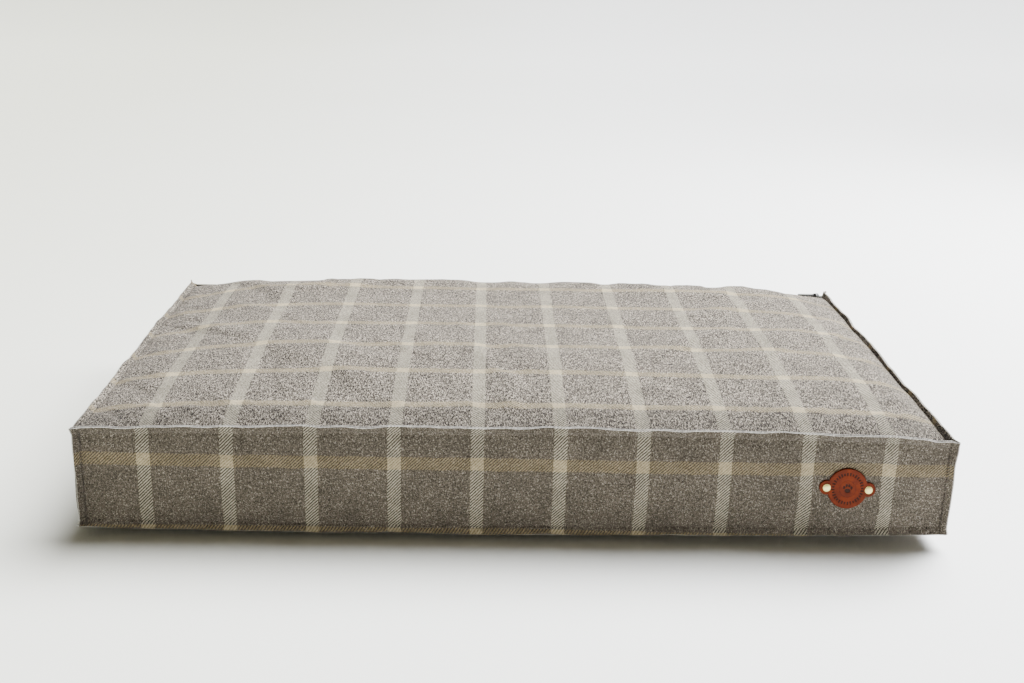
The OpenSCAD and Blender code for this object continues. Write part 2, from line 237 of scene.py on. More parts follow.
@dataclass(frozen=True)
class WoolCheck:
    """Grey-brown wool in a 2/2 twill, with off-white stripes along it and mustard ones across.

    The cloth's own map gives the place on the uncut cloth in metres, u across and v along. Thread i of
    the warp is on top of thread j of the weft where (i - j) mod 4 is under 2, which draws the twill.
    """

    name: str = "wool_check"
    thread: float = 0.85 * MM
    white_pitch: float = 84.6 * MM
    white_centre: float = 1.1 * MM
    mustard_pitch: float = 80.0 * MM
    mustard_first: float = 52.2 * MM
    stripe: float = 13.6 * MM
    white: tuple[float, float, float] = (0.47, 0.425, 0.325)
    mustard: tuple[float, float, float] = (0.33, 0.26, 0.15)
    dark: tuple[float, float, float] = (0.014, 0.011, 0.010)
    ground: tuple[float, float, float] = (0.092, 0.078, 0.061)
    pale: tuple[float, float, float] = (0.48, 0.42, 0.345)
    cream: tuple[float, float, float] = (0.47, 0.39, 0.25)
    # Colour of the painted highlight on the flange tips
    rim_highlight_colour: tuple[float, float, float] = (0.85, 0.82, 0.76)

    def stripes(self, along: Signal, pitch: float, centre: float, wander: Signal) -> Signal:
        """Returns 1 in evenly spaced stripes and 0 between them, with a step one thread wide.

        Args:
            along: Place across the stripes, in metres.
            pitch: Distance from one stripe to the next.
            centre: The middle of one of them.
            wander: How far their edges stray.

        Returns:
            The mask.
        """
        nearest = ((along - centre) / pitch + 0.5) % 1.0 - 0.5
        off = nearest.size() * pitch + wander
        half = self.stripe / 2
        return off.ramp(half - 0.5 * self.thread, half + 0.5 * self.thread, 1.0, 0.0)

    def melange(self, sh: Shader, where: Signal, middle: Signal, gain: Signal) -> Signal:
        """Returns the mixed greys of one set of threads: a ramp over (noise - middle) gain + 0.5.

        Args:
            sh: The material.
            where: Place in threads.
            middle: The noise that gives a mid grey, so that more of it darkens the wool.
            gain: How far apart the greys are.

        Returns:
            The colour.
        """
        speck = (sh.noise(where, 1.0, 3.0, 0.7) - middle) * gain + 0.5
        stops = [(0.38, self.dark), (0.47, self.ground), (0.54, self.ground), (0.66, self.pale)]
        return sh.add("ShaderNodeValToRGB", {"stops": stops}, [speck])

    def make(self) -> bpy.types.Material:
        """Returns the material.

        A thread's height is 1 - (2 f - 1)^2, where f goes from 0 to 1 across it, with fluff added.
        """
        sh = Shader(self.name)
        cloth = sh.add("ShaderNodeUVMap", {"uv_map": "cloth"})
        u, v, _ = sh.axes(cloth)
        across, along = u / self.thread, v / self.thread
        over = ((across.floor() - along.floor()) % 4.0).ramp(1.4, 1.6, 1.0, 0.0)
        wander = (sh.noise(cloth, 90.0, 3.0) - 0.5) * (1.2 * MM)
        in_white = self.stripes(u, self.white_pitch, self.white_centre + self.white_pitch / 2, wander)
        # On the top panel the wool is retuned for the light that falls there: a darker middle grey and greys
        # further apart, which is painted shade, and a painted sheen veil over the mustard and the weave
        brushed = sh.add("ShaderNodeAttribute", {"attribute_name": "brushed"}, output="Fac")
        in_mustard = self.stripes(v, self.mustard_pitch, self.mustard_first, wander + brushed * (1.3 * MM))
        # The two sets of threads: mixed greys, crossed by the stripes
        middle = 0.501 + brushed * 0.020
        gain, drawn, fine = 0.85 + brushed * 2.3, 1.0 - brushed * 0.55, 1.0 + brushed * 0.35
        warp_grey = self.melange(sh, sh.vector(across * 0.75 * fine, along * 0.42 * drawn), middle, gain)
        weft_grey = self.melange(sh, sh.vector(across * 0.6 * fine, along * 0.55 * drawn, 7.3), middle, gain)
        slub = sh.noise(sh.vector(across * 0.5, along * 0.5, 3.1), 1.0, 2.0)
        white = sh.mix(slub.ramp(0.25, 0.6), tuple(0.6 * c for c in self.white), self.white)
        mustard = sh.mix(slub.ramp(0.3, 0.65), tuple(0.5 * c for c in self.mustard), self.mustard)
        # Paler, creamier mustard on the top: a painted sheen veil
        mustard = sh.mix(brushed * 0.45, mustard, self.cream)
        crossing = sh.mix(in_mustard * 0.85, white, self.cream)
        # Under a stripe the other set of threads is darkened nearly to black: painted shade in the gaps of
        # the twill
        warp = sh.mix(in_white, sh.mix(in_mustard * 0.45, warp_grey, self.dark), crossing)
        weft = sh.mix(in_mustard, sh.mix(in_white * 0.75, weft_grey, self.dark), mustard)
        woven = sh.mix(over, weft, warp)
        # Fibres rubbed over the weave, a painted highlight on the flange tips, slow changes of tone, and
        # painted shade
        haze = sh.noise(sh.vector(across * 0.55 * fine, along * 0.5 * drawn, 11.0), 1.0, 3.0, 0.65)
        rubbed = haze.ramp(0.42, 0.68) * (0.40 + brushed * 0.10)
        woven = sh.mix(rubbed, woven, weft_grey)
        edge = sh.add("ShaderNodeAttribute", {"attribute_name": "edge"}, output="Fac")
        # Painted highlight: the flange tips are paled as if lit from behind
        rim_highlight = edge.ramp(0.35, 1.0, 0.0, 1.0) * slub.ramp(0.2, 0.6, 0.35, 1.0)
        woven = sh.mix(rim_highlight, woven, self.rim_highlight_colour)
        # Painted shade from an attribute: the top darker in its field and near its front and left seams, the
        # bands near their top seams, and the front band towards the left
        lie = sh.add("ShaderNodeAttribute", {"attribute_name": "lie"}, output="Fac")
        mottle = sh.noise(cloth, 28.0, 4.0, 0.6).ramp(0.3, 0.7, 0.86, 1.12)
        clump = sh.noise(cloth, 300.0, 2.0, 0.5).ramp(0.3, 0.7, 0.86, 1.14)
        value = mottle * clump * (1.1 - lie)
        tone = sh.add("ShaderNodeHueSaturation", values={"Color": woven, "Value": value})
        # The threads in relief
        round_warp = 1.0 - ((across % 1.0) * 2.0 - 1.0).math("POWER", 2.0)
        round_weft = 1.0 - ((along % 1.0) * 2.0 - 1.0).math("POWER", 2.0)
        threads = over * round_warp + (1.0 - over) * round_weft
        fluff = sh.noise(sh.vector(across, along), 0.45, 4.0, 0.75)
        height = threads * 0.45 + fluff * 0.9
        normal = sh.bump(height, 0.55 * MM, 0.8)
        return sh.finish({
            "Base Color": tone, "Roughness": 0.95, "Normal": normal, "Specular IOR Level": 0.15,
            "Sheen Weight": 0.06, "Sheen Roughness": 0.35, "Sheen Tint": (0.97, 0.95, 1.0, 1.0),
        })


@dataclass(frozen=True)
class PlainCloth:
    """A plain weave on the object's own coordinates, such as cotton, tape or sewing thread."""

    name: str
    colour: tuple[float, float, float]
    shade: tuple[float, float, float]
    thread: float = 0.5 * MM
    sheen: float = 0.2

    def make(self) -> bpy.types.Material:
        """Returns the material: two crossed sines give the weave, and noise its slubs."""
        sh = Shader(self.name)
        here = sh.place()
        x, y, z = sh.axes(here)
        turn = math.tau / (2 * self.thread)
        weave = ((x + z) * turn).math("SINE") * ((y + z * 0.5) * turn).math("SINE")
        slub = sh.noise(here, 260.0, 3.0)
        share = (weave * 0.35 + slub).ramp(0.2, 0.9)
        colour = sh.mix(share, self.shade, self.colour)
        normal = sh.bump(weave * 0.5 + slub * 0.5, 0.25 * MM, 0.7)
        return sh.finish({
            "Base Color": colour, "Roughness": 0.9, "Normal": normal, "Specular IOR Level": 0.2,
            "Sheen Weight": self.sheen,
        })


@dataclass(frozen=True)
class Leather:
    """Vegetable-tanned leather: tan, with pores, a darker burnished rim and dark pressed marks."""

    name: str = "tan_leather"
    tan: tuple[float, float, float] = (0.17, 0.022, 0.0006)
    deep: tuple[float, float, float] = (0.10, 0.012, 0.0004)
    pressed: tuple[float, float, float] = (0.022, 0.006, 0.003)

    def make(self) -> bpy.types.Material:
        """Returns the material. The mesh's own attribute pressed is 1 where a mark is stamped."""
        sh = Shader(self.name)
        here = sh.place()
        cloud = sh.noise(here, 120.0, 4.0, 0.6)
        pores = sh.noise(here, 2200.0, 2.0)
        mark = sh.add("ShaderNodeAttribute", {"attribute_name": "pressed"}, output="Fac")
        rim = sh.add("ShaderNodeAttribute", {"attribute_name": "rim"}, output="Fac")
        tan = sh.mix(cloud.ramp(0.35, 0.7), self.deep, self.tan)
        worn = sh.mix(rim * 0.75, tan, self.deep)
        colour = sh.mix(mark * 0.95, worn, self.pressed)
        normal = sh.bump(pores * 0.6 + cloud * 0.4, 0.18 * MM, 0.7)
        rough = pores.ramp(0.3, 0.7, 0.55, 0.7)
        return sh.finish({
            "Base Color": colour, "Roughness": rough, "Normal": normal, "Specular IOR Level": 0.18,
        })


@dataclass(frozen=True)
class Metal:
    """Metal, bare or lacquered, with fine scratches and duller patches."""

    name: str
    colour: tuple[float, float, float]
    worn: tuple[float, float, float]
    metallic: float = 1.0
    rough: float = 0.3
    coat: float = 0.0

    def make(self) -> bpy.types.Material:
        """Returns the material."""
        sh = Shader(self.name)
        here = sh.place()
        x, y, z = sh.axes(here)
        scratch = sh.noise(sh.vector(x * 6.0, y, z * 2.0), 900.0, 3.0, 0.65)
        patch = sh.noise(here, 340.0, 3.0)
        colour = sh.mix((patch * 0.6 + scratch * 0.4).ramp(0.42, 0.7), self.colour, self.worn)
        rough = patch.ramp(0.3, 0.7, self.rough, self.rough + 0.18)
        normal = sh.bump(scratch, 0.03 * MM, 0.5)
        return sh.finish({
            "Base Color": colour, "Metallic": self.metallic, "Roughness": rough, "Normal": normal,
            "Coat Weight": self.coat,
        })


@dataclass(frozen=True)
class Floor:
    """A pale studio floor, whiter on the right and darker and creamier on the left: painted shade, where less
    light falls.
    """

    name: str = "studio_floor"
    colour: tuple[float, float, float] = (0.93, 0.93, 0.92)
    # The floor's colour on the left: painted shade
    shade: tuple[float, float, float] = (0.74, 0.74, 0.63)

    def make(self) -> bpy.types.Material:
        """Returns the material."""
        sh = Shader(self.name)
        here = sh.place()
        x, _, _ = sh.axes(here)
        # Painted shade: the floor darkens towards the left
        across = (x + sh.noise(here, 1.5, 2.0) * 0.3).ramp(-1.3, 0.9)
        colour = sh.mix(across, self.shade, self.colour)
        return sh.finish({"Base Color": colour, "Roughness": 0.7, "Specular IOR Level": 0.25})


class Finish(Enum):
    """The finishes of the bed, under the names of the record's material slots."""

    WOOL = "wool_check"
    THREAD = "thread"
    TAPE = "zip_tape"
    COIL = "zip_coil"
    ZIP_METAL = "zip_metal"
    LEATHER = "leather"
    BRASS = "rivet_brass"
    COTTON = "cotton_casing"
    FIBRE = "fibre"


RECIPES: dict[Finish, Any] = {
    Finish.WOOL: WoolCheck(),
    Finish.THREAD: PlainCloth("sewing_thread", (0.17, 0.15, 0.125), (0.09, 0.075, 0.06), 0.2 * MM),
    Finish.TAPE: PlainCloth("black_tape", (0.022, 0.022, 0.024), (0.008, 0.008, 0.009), 0.4 * MM),
    Finish.COIL: Metal("black_nylon", (0.012, 0.012, 0.013), (0.03, 0.03, 0.032), 0.0, 0.38),
    Finish.ZIP_METAL: Metal("black_lacquer", (0.012, 0.012, 0.012), (0.03, 0.028, 0.026), 0.25, 0.24, 0.4),
    Finish.LEATHER: Leather(),
    Finish.BRASS: Metal("pale_brass", (1.0, 0.90, 0.36), (0.92, 0.76, 0.24), 0.5, 0.3),
    Finish.COTTON: PlainCloth("undyed_cotton", (0.72, 0.67, 0.57), (0.52, 0.47, 0.38), 0.6 * MM),
    Finish.FIBRE: PlainCloth("white_fibre", (0.82, 0.82, 0.80), (0.62, 0.62, 0.60), 1.4 * MM, 0.5),
}


class Wardrobe:
    """Makes each finish once, on first use."""

    def __init__(self) -> None:
        """Starts empty."""
        self.made: dict[Finish, bpy.types.Material] = {}

    def get(self, finish: Finish) -> bpy.types.Material:
        """Returns the material of a finish."""
        if finish not in self.made:
            self.made[finish] = RECIPES[finish].make()
        return self.made[finish]


WARDROBE = Wardrobe()


# ---------------------------------------------------------------- mesh tools

def grid_faces(rows: int, columns: int, first: int = 0) -> Array:
    """Returns the quads of a grid of points that is numbered row by row from first."""
    corner = first + np.arange(rows * columns).reshape(rows, columns)
    return np.stack([corner[:-1, :-1], corner[:-1, 1:], corner[1:, 1:], corner[1:, :-1]], -1).reshape(-1, 4)


def make_mesh(
    name: str, points: Array, faces: Array, maps: dict[str, Array] | None = None
) -> bpy.types.Object:
    """Makes a smooth mesh object.

    Args:
        name: The object's name.
        points: One row of x, y, z for each vertex.
        faces: One row of vertex numbers for each face.
        maps: For each vertex, 2 numbers make a UV map of that name, and 1 number makes an attribute.

    Returns:
        The object, at the origin.
    """
    mesh = bpy.data.meshes.new(name)
    points, faces = np.asarray(points, np.float32).reshape(-1, 3), np.asarray(faces, np.int32)
    mesh.vertices.add(len(points))
    mesh.vertices.foreach_set("co", points.ravel())
    mesh.loops.add(faces.size)
    mesh.loops.foreach_set("vertex_index", faces.ravel())
    mesh.polygons.add(len(faces))
    mesh.polygons.foreach_set("loop_start", np.arange(0, faces.size, faces.shape[1], dtype=np.int32))
    mesh.update(calc_edges=True)
    mesh.polygons.foreach_set("use_smooth", np.ones(len(faces), bool))
    for key, values in (maps or {}).items():
        if values.ndim > 1:
            layer = mesh.uv_layers.new(name=key)
            layer.data.foreach_set("uv", values[faces.ravel()].astype(np.float32).ravel())
        else:
            layer = mesh.attributes.new(key, "FLOAT", "POINT")
            layer.data.foreach_set("value", values.astype(np.float32))
    mesh.validate()
    piece = bpy.data.objects.new(name, mesh)
    bpy.context.scene.collection.objects.link(piece)
    return piece


def unit(vectors: Array) -> Array:
    """Returns vectors at length 1."""
    return vectors / np.maximum(np.linalg.norm(vectors, axis=-1, keepdims=True), 1e-12)


def grid_normals(points: Array) -> Array:
    """Returns the normal at each point of a grid: the cross product of its two directions."""
    return unit(np.cross(np.gradient(points, axis=1), np.gradient(points, axis=0)))


def close_rim(half: Array) -> None:
    """Sets half of a sheet's thickness to 0 on the rim of its grid, where its two faces meet."""
    half[[0, -1]] = 0
    half[:, [0, -1]] = 0


def lengths(line: Array) -> Array:
    """Returns the length along a line up to each of its points: the sum of its steps."""
    return np.concatenate([[0], np.cumsum(np.hypot(*np.diff(line, axis=0).T))])


def ring_faces(number: Array) -> Array:
    """Returns the quads of closed tubes: a wall from each ring to the next, and two flat ends.

    Args:
        number: Vertex numbers, tubes by rings by corners, with an even number of corners.

    Returns:
        One row of four vertex numbers for each quad.
    """
    corners = number.shape[2]
    beside = np.roll(number, -1, 2)
    wall = np.stack([number[:, :-1], number[:, 1:], beside[:, 1:], beside[:, :-1]], -1)
    first = np.arange(corners // 2 - 1)
    cap = np.stack([first, first + 1, corners - 2 - first, corners - 1 - first], -1)
    start, end = number[:, 0][:, cap], number[:, -1][:, cap[:, ::-1]]
    return np.concatenate([part.reshape(-1, 4) for part in (wall, start, end)])


def closed_sheet(
    name: str, points: Array, half: Array, cloth: Array, brushed: float = 0.0, lie: Any = 0.0
) -> bpy.types.Object:
    """Makes cloth of real thickness from the grid of its middle surface.

    The two faces are the middle surface moved along its normal by +half and -half. They meet at the rim
    of the grid, where half is 0.

    Args:
        name: The piece's name.
        points: Grid of middle points, rows by columns by 3, with its normal towards the outside.
        half: Half of the thickness at each point, 0 on the rim.
        cloth: Place of each point on the uncut cloth.
        brushed: How far its colours are retuned for the light on the top, from 0 to 1.
        lie: How much painted shade darkens it, one number or one for each point.

    Returns:
        The object, closed, with the map cloth and the attributes edge, brushed and lie.
    """
    rows, columns = half.shape
    lift = grid_normals(points) * half[..., None]
    corner = np.arange(rows * columns).reshape(rows, columns)
    inner = corner + rows * columns
    inner[0], inner[-1], inner[:, 0], inner[:, -1] = corner[0], corner[-1], corner[:, 0], corner[:, -1]
    outer_faces = grid_faces(rows, columns)
    flat = inner.ravel()
    inner_faces = flat[outer_faces][:, ::-1]
    both = np.concatenate([(points + lift).reshape(-1, 3), (points - lift).reshape(-1, 3)])
    faces = np.concatenate([outer_faces, inner_faces])
    used, renumbered = np.unique(faces, return_inverse=True)
    map_both = np.concatenate([cloth.reshape(-1, 2)] * 2)
    edge = np.concatenate([(1 - half / half.max()).ravel()] * 2)
    shade_per_point = np.tile(np.broadcast_to(lie, half.shape).ravel(), 2)
    maps = {
        "cloth": map_both[used], "edge": edge[used], "brushed": np.full(len(used), brushed),
        "lie": shade_per_point[used],
    }
    return make_mesh(name, both[used], renumbered.reshape(faces.shape), maps)


def dress(piece: bpy.types.Object, finish: Finish, body: str, *nodes: str) -> bpy.types.Object:
    """Gives a piece its material, its body and the CAD nodes that it stands for.

    Args:
        piece: The piece.
        finish: Its finish.
        body: The body that it rides on.
        nodes: The CAD nodes that it stands for.

    Returns:
        The piece.
    """
    piece.data.materials.clear()
    piece.data.materials.append(WARDROBE.get(finish))
    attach(piece, body)
    if nodes:
        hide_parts(*nodes)
    log.info("%s: %d faces on %s", piece.name, len(piece.data.polygons), body)
    return piece


def cubic_weights(wanted: Array, known: Array) -> Array:
    """Returns the matrix that carries values at evenly spaced places to other places.

    Each row holds the four Catmull-Rom weights of the nearest known places.

    Args:
        wanted: The places to carry values to.
        known: The evenly spaced places that have them.

    Returns:
        The matrix, wanted by known.
    """
    step = known[1] - known[0]
    place = np.clip((wanted - known[0]) / step, 0, len(known) - 1)
    start = np.minimum(place.astype(int), len(known) - 2)
    t = place - start
    weights = [
        -0.5 * t + t**2 - 0.5 * t**3,
        1 - 2.5 * t**2 + 1.5 * t**3,
        0.5 * t + 2 * t**2 - 1.5 * t**3,
        -0.5 * t**2 + 0.5 * t**3,
    ]
    matrix = np.zeros((len(wanted), len(known)))
    for offset, weight in zip((-1, 0, 1, 2), weights):
        column = np.clip(start + offset, 0, len(known) - 1)
        np.add.at(matrix, (np.arange(len(wanted)), column), weight)
    return matrix


def blur(field: Array, reach: float, axis: int) -> Array:
    """Returns a field smoothed along one axis by a Gaussian, mirrored at its ends.

    Args:
        field: Values on a grid.
        reach: The Gaussian's standard deviation, in grid steps.
        axis: The axis to smooth along.

    Returns:
        The field, the same size.
    """
    count = field.shape[axis]
    radius = int(3 * reach)
    kernel = np.exp(-0.5 * (np.arange(-radius, radius + 1) / reach) ** 2)
    index = np.abs(np.arange(-radius, count + radius))
    index = (count - 1) - np.abs((count - 1) - index % (2 * count - 2))
    padded = np.take(field, index, axis)
    return np.apply_along_axis(lambda line: np.convolve(line, kernel / kernel.sum(), "valid"), axis, padded)


class Ripple:
    """A smooth random line: a sum of sines of seeded lengths and phases."""

    def __init__(self, seed: int, height: float, longest: float, shortest: float, count: int = 9) -> None:
        """Draws the sines.

        Args:
            seed: Fixes the draw.
            height: About the largest value of the sum, in metres.
            longest: The longest wave, in metres.
            shortest: The shortest wave, in metres.
            count: How many sines.
        """
        draw = np.random.default_rng(seed)
        self.turn = math.tau / np.geomspace(longest, shortest, count)
        self.phase = draw.uniform(0, math.tau, count)
        fall = (shortest / longest) ** (np.arange(count) / count / 2)
        self.height = height * draw.uniform(0.5, 1.0, count) * fall * 1.5 / math.sqrt(count)

    def at(self, along: Array) -> Array:
        """Returns the line's height at each place."""
        along = np.asarray(along, float)[..., None]
        return (self.height * np.sin(along * self.turn + self.phase)).sum(-1)


# ---------------------------------------------------------------- the cover's shape

class Side(Enum):
    """A side band: its quarter turns from the front."""

    FRONT = 0
    RIGHT = 1
    BACK = 2
    LEFT = 3

    def place(self, along: Array, out: Array, up: Array) -> Array:
        """Returns points of this side, turned from the front by its quarter turns.

        Args:
            along: Places along it, to the right as seen from outside.
            out: Places outwards from the middle of the bed.
            up: Heights.

        Returns:
            The points as x, y, z.
        """
        x, y = along, -out
        for _ in range(self.value):
            x, y = -y, x
        return np.stack(np.broadcast_arrays(x, y, up), -1)


@dataclass
class CoverSizes:
    """The cover's main sizes, read from the frame, and the shape of its crown.

    leans holds the angles of the front, right, back and left flanges outwards. The rise fields are the
    powers by which the crown falls to each side: the higher, the closer to the seam. The dip fields
    place and size the hollow at the closed end of the zip, and the tips are the folded corners.
    """

    flange: float = 9 * MM
    cloth: float = 1.6 * MM
    leans: tuple[float, ...] = (0.38, 0.20, 0.45, 0.70)
    rise_left: float = 6.0
    rise_right: float = 12.0
    rise_front: float = 3.4
    rise_back: float = 15.0
    floor_share: float = 0.7
    floor_round: float = 1.6
    zip_gap: float = 10 * MM
    bulge: float = 4.2 * MM
    seat_out: float = 2.6 * MM
    seat_lean: float = 0.14
    bow: float = 6.0 * MM
    sag: float = 4.4 * MM
    boxing_lift: float = 5.5 * MM
    dip_x: float = 418 * MM
    dip_wide: float = 45 * MM
    dip_deep: float = 50 * MM
    dip_share: float = 0.62
    tip_top: tuple[float, float] = (6.6 * MM, 7.2 * MM)
    tip_bottom: tuple[float, float] = (6.8 * MM, -5.8 * MM)

    def __post_init__(self) -> None:
        """Reads the half widths, the seam heights and the crown from the CAD nodes' boxes."""
        low, high = cad_box
        corner = (self.flange + self.cloth) / math.sqrt(2)
        self.half_w = (high[0] - low[0]) / 2 - corner
        self.half_d = (high[1] - low[1]) / 2 - corner
        self.seam_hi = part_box("zip_tape_front")[1].z
        self.seam_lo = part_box("pad_casing_boxing")[0].z - self.boxing_lift
        self.crown_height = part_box("top_panel")[1].z - self.cloth - self.seam_hi

    def half_length(self, side: Side) -> float:
        """Returns half of a band's length between its corner seams."""
        return self.half_w if side in (Side.FRONT, Side.BACK) else self.half_d

    def out(self, side: Side) -> float:
        """Returns how far a band's inner face is from the middle of the bed."""
        return self.half_d if side in (Side.FRONT, Side.BACK) else self.half_w

    def crown(self, x: Array, y: Array, back: float) -> Array:
        """Returns the share of the top's rise: (1 - |x/a|^m) (1 - |(y - y0)/b|^n), with n larger behind y0.

        It is pressed down near the closed end of the zip: times 1 - dip e^(-(dx/wide)^2 - (dy/deep)^2).

        Args:
            x: Places across.
            y: Places from front to back.
            back: Where the panel ends at the back.

        Returns:
            The share at each place, 0 at the seams.
        """
        y0, hd = (back - self.half_d) / 2, (back + self.half_d) / 2
        share = np.clip((y - y0) / hd, -1, 1)
        along_x = np.clip(x / self.half_w, -1, 1)
        fall_x = 1 - np.abs(along_x) ** np.where(along_x < 0, self.rise_left, self.rise_right)
        at_zip = np.exp(-(((x - self.dip_x) / self.dip_wide) ** 2) - ((y - back) / self.dip_deep) ** 2)
        rise_y = 1 - np.abs(share) ** np.where(share < 0, self.rise_front, self.rise_back)
        return fall_x * rise_y * (1 - self.dip_share * at_zip)

    def crown_even(self, x: Array, y: Array) -> Array:
        """Returns the same share for the underside: (1 - |x/a|^10) (1 - |y/b|^5)."""
        fall_x = 1 - np.abs(np.clip(x / self.half_w, -1, 1)) ** 10
        return fall_x * (1 - np.abs(np.clip(y / self.half_d, -1, 1)) ** 5)

    def corner_tip(self, top: bool) -> tuple[float, float]:
        """Returns how far a corner's folded tip stands out along each side and up from the seams."""
        return self.tip_top if top else self.tip_bottom

    def seam_bow(self, side: Side, along: Array) -> Array:
        """Returns how far the top seam of a side is lifted between its corners.

        With t from -1 to 1 along the side, the front's is (1 - |t|^1.5)^1.15 left of the middle and
        1 - |t|^4.7 right of it, less a small dip before the corner. At the left and right it is a lower
        1 - t^2, and at the back 0.

        Args:
            side: The side.
            along: Places along it.

        Returns:
            The lift at each place.
        """
        share = np.clip(along / self.half_length(side), -1, 1)
        if side is Side.FRONT:
            left, right = (1 - np.abs(share) ** 1.5) ** 1.15, 1 - np.abs(share) ** 4.7
            dip = np.exp(-(((share - 0.965) / 0.02) ** 2))
            return self.bow * (np.where(share < 0, left, right) - 0.35 * dip)
        lift = 0.0 if side is Side.BACK else 0.35
        return lift * self.bow * (1 - share**2)


SIZES = CoverSizes()


def box_shell(counts: Array) -> tuple[list[Array], Array, Array]:
    """Returns the surface of a box cut into quads.

    Args:
        counts: How many quads along x, y and z.

    Returns:
        For each vertex its share along x, y and z; the quads; and the grid of vertex numbers, -1 inside.
    """
    index = np.indices(counts + 1)
    shell = np.any([(index[a] == 0) | (index[a] == counts[a]) for a in range(3)], axis=0)
    number = np.full(counts + 1, -1)
    number[shell] = np.arange(shell.sum())
    faces = []
    for axis in range(3):
        for end, flip in ((0, axis != 1), (counts[axis], axis == 1)):
            wall = np.take(number, end, axis)
            quads = wall.ravel()[grid_faces(*wall.shape)]
            faces.append(quads[:, ::-1] if flip else quads)
    return [index[a][shell] / counts[a] for a in range(3)], np.concatenate(faces), number


@dataclass
class LooseCover:
    """The cover as limp cloth, cut a little too large and blown up inside its fixed seams.

    The cloth simulation of it finds where the wool puckers along the seams. Only the part of its
    movement that changes along the nearest seam is kept, and it is added to the crown.
    """

    step: float = 8 * MM
    growth: float = 0.014
    pressure: float = 4.0
    frames: int = 18
    reach: float = 60 * MM
    limit: float = 1.7 * MM
    fields: dict[Any, tuple[list[Array], Array]] = field(default_factory=dict)

    def simulate(self) -> None:
        """Runs the simulation and keeps a field of outward movement for each face of the box."""
        s = SIZES
        size = np.array([2 * s.half_w, 2 * s.half_d, s.seam_hi - s.seam_lo])
        n = np.maximum(np.round(size / self.step).astype(int), 2)
        share, faces, number = box_shell(n)
        x, y, z = ((f - 0.5) * size[a] for a, f in enumerate(share))
        z = z + (s.seam_hi + s.seam_lo) / 2
        rise = s.crown(x, y, s.half_d)
        z = z + np.where(share[2] == 1, rise * s.crown_height, 0)
        z = z - np.where(share[2] == 0, rise * s.seam_lo, 0)
        start = np.stack([x, y, z], -1)
        piece = make_mesh("loose_cover", start, faces)
        pinned = sum(((f == 0) | (f == 1)).astype(int) for f in share) >= 2
        moved = self._run(piece, np.flatnonzero(pinned)) - start
        bpy.data.objects.remove(piece)
        wall_of = {
            "top": (2, n[2], 2, 1), "bottom": (2, 0, 2, -1), Side.FRONT: (1, 0, 1, -1),
            Side.BACK: (1, n[1], 1, 1), Side.LEFT: (0, 0, 0, -1), Side.RIGHT: (0, n[0], 0, 1),
        }
        for key, (axis, end, part, sign) in wall_of.items():
            wall = np.take(number, end, axis)
            places = [np.linspace(-0.5, 0.5, k + 1) * size[a] for a, k in enumerate(n) if a != axis]
            self.fields[key] = (places, self._puckers(moved[wall][..., part] * sign))

    def _run(self, piece: bpy.types.Object, pinned: Array) -> Array:
        """Steps Blender's cloth with the seams pinned.

        Args:
            piece: The closed box of cloth.
            pinned: The numbers of the vertices on its seams.

        Returns:
            Where the vertices end, one row of x, y, z for each.
        """
        group = piece.vertex_groups.new(name="seams")
        group.add(pinned.tolist(), 1.0, "REPLACE")
        cloth = piece.modifiers.new("cloth", "CLOTH")
        settings = cloth.settings
        settings.quality = 5
        settings.mass = 0.35
        settings.tension_stiffness = settings.compression_stiffness = 18
        settings.shear_stiffness = 6
        settings.bending_stiffness = 0.6
        settings.air_damping = 2.0
        settings.vertex_group_mass = "seams"
        settings.use_pressure = True
        settings.uniform_pressure_force = self.pressure
        settings.shrink_min = -self.growth
        settings.effector_weights.gravity = 0
        cloth.point_cache.frame_start = 1
        cloth.point_cache.frame_end = self.frames
        scene = bpy.context.scene
        for number in range(1, self.frames + 1):
            scene.frame_set(number)
        done = piece.evaluated_get(bpy.context.evaluated_depsgraph_get()).data
        ends = np.zeros(len(done.vertices) * 3, np.float32)
        done.vertices.foreach_get("co", ends)
        scene.frame_set(1)
        return ends.reshape(-1, 3).astype(float)

    def _puckers(self, out: Array) -> Array:
        """Returns what changes along the nearest seam, limited and faded out at the seams.

        Near the ends of an axis the movement is compared with its own average along the other axis.

        Args:
            out: A face's outward movement on its grid.

        Returns:
            The part of it that is kept.
        """
        reach = self.reach / self.step
        rows, columns = out.shape
        from_row = np.minimum(np.arange(rows), np.arange(rows)[::-1])[:, None] + 0.5
        from_column = np.minimum(np.arange(columns), np.arange(columns)[::-1])[None, :] + 0.5
        share = from_row / (from_row + from_column)
        reach_r, reach_c = min(reach, rows / 4), min(reach, columns / 4)
        kept = share * (out - blur(out, reach_r, 0)) + (1 - share) * (out - blur(out, reach_c, 1))
        return np.tanh(kept / self.limit) * self.limit

    def at(self, key: Any, first: Array, second: Array) -> Array:
        """Returns a face's outward movement on the grid of two lists of places.

        Args:
            key: "top", "bottom" or a side.
            first: Places along the face's first axis.
            second: Places along its second axis.

        Returns:
            The movement, first by second, and 0 where nothing was simulated.
        """
        if key not in self.fields:
            return np.zeros((len(first), len(second)))
        places, field = self.fields[key]
        return cubic_weights(first, places[0]) @ field @ cubic_weights(second, places[1]).T


LOOSE = LooseCover()


def graded(low: float, high: float, count: int, crowd: float = 0.45) -> Array:
    """Returns places from low to high that stand closer together near the ends."""
    t = np.linspace(-1, 1, count + 1)
    return (low + high) / 2 + (high - low) / 2 * ((1 - crowd) * t + crowd * np.sin(t * math.pi / 2))


# Shares of the flange at which a panel has points, from its seam to its folded tip
FLANGE_STEPS = np.array([0.1, 0.3, 0.52, 0.74, 0.9, 0.97, 1.0])


def nose(steps: Array, reach: float, half: float) -> Array:
    """Returns half of the thickness towards a rounded tip: a quarter circle over the last stretch."""
    left = (1 - steps) * reach
    return half * np.sqrt(np.clip(1 - (1 - np.clip(left / half, 0, 1)) ** 2, 0, 1))


# How far the bottom corners hang below the level seam: front left, front right, back right, back left
CORNER_DROPS = (3.2 * MM, -1.6 * MM, 0.0, 0.0)


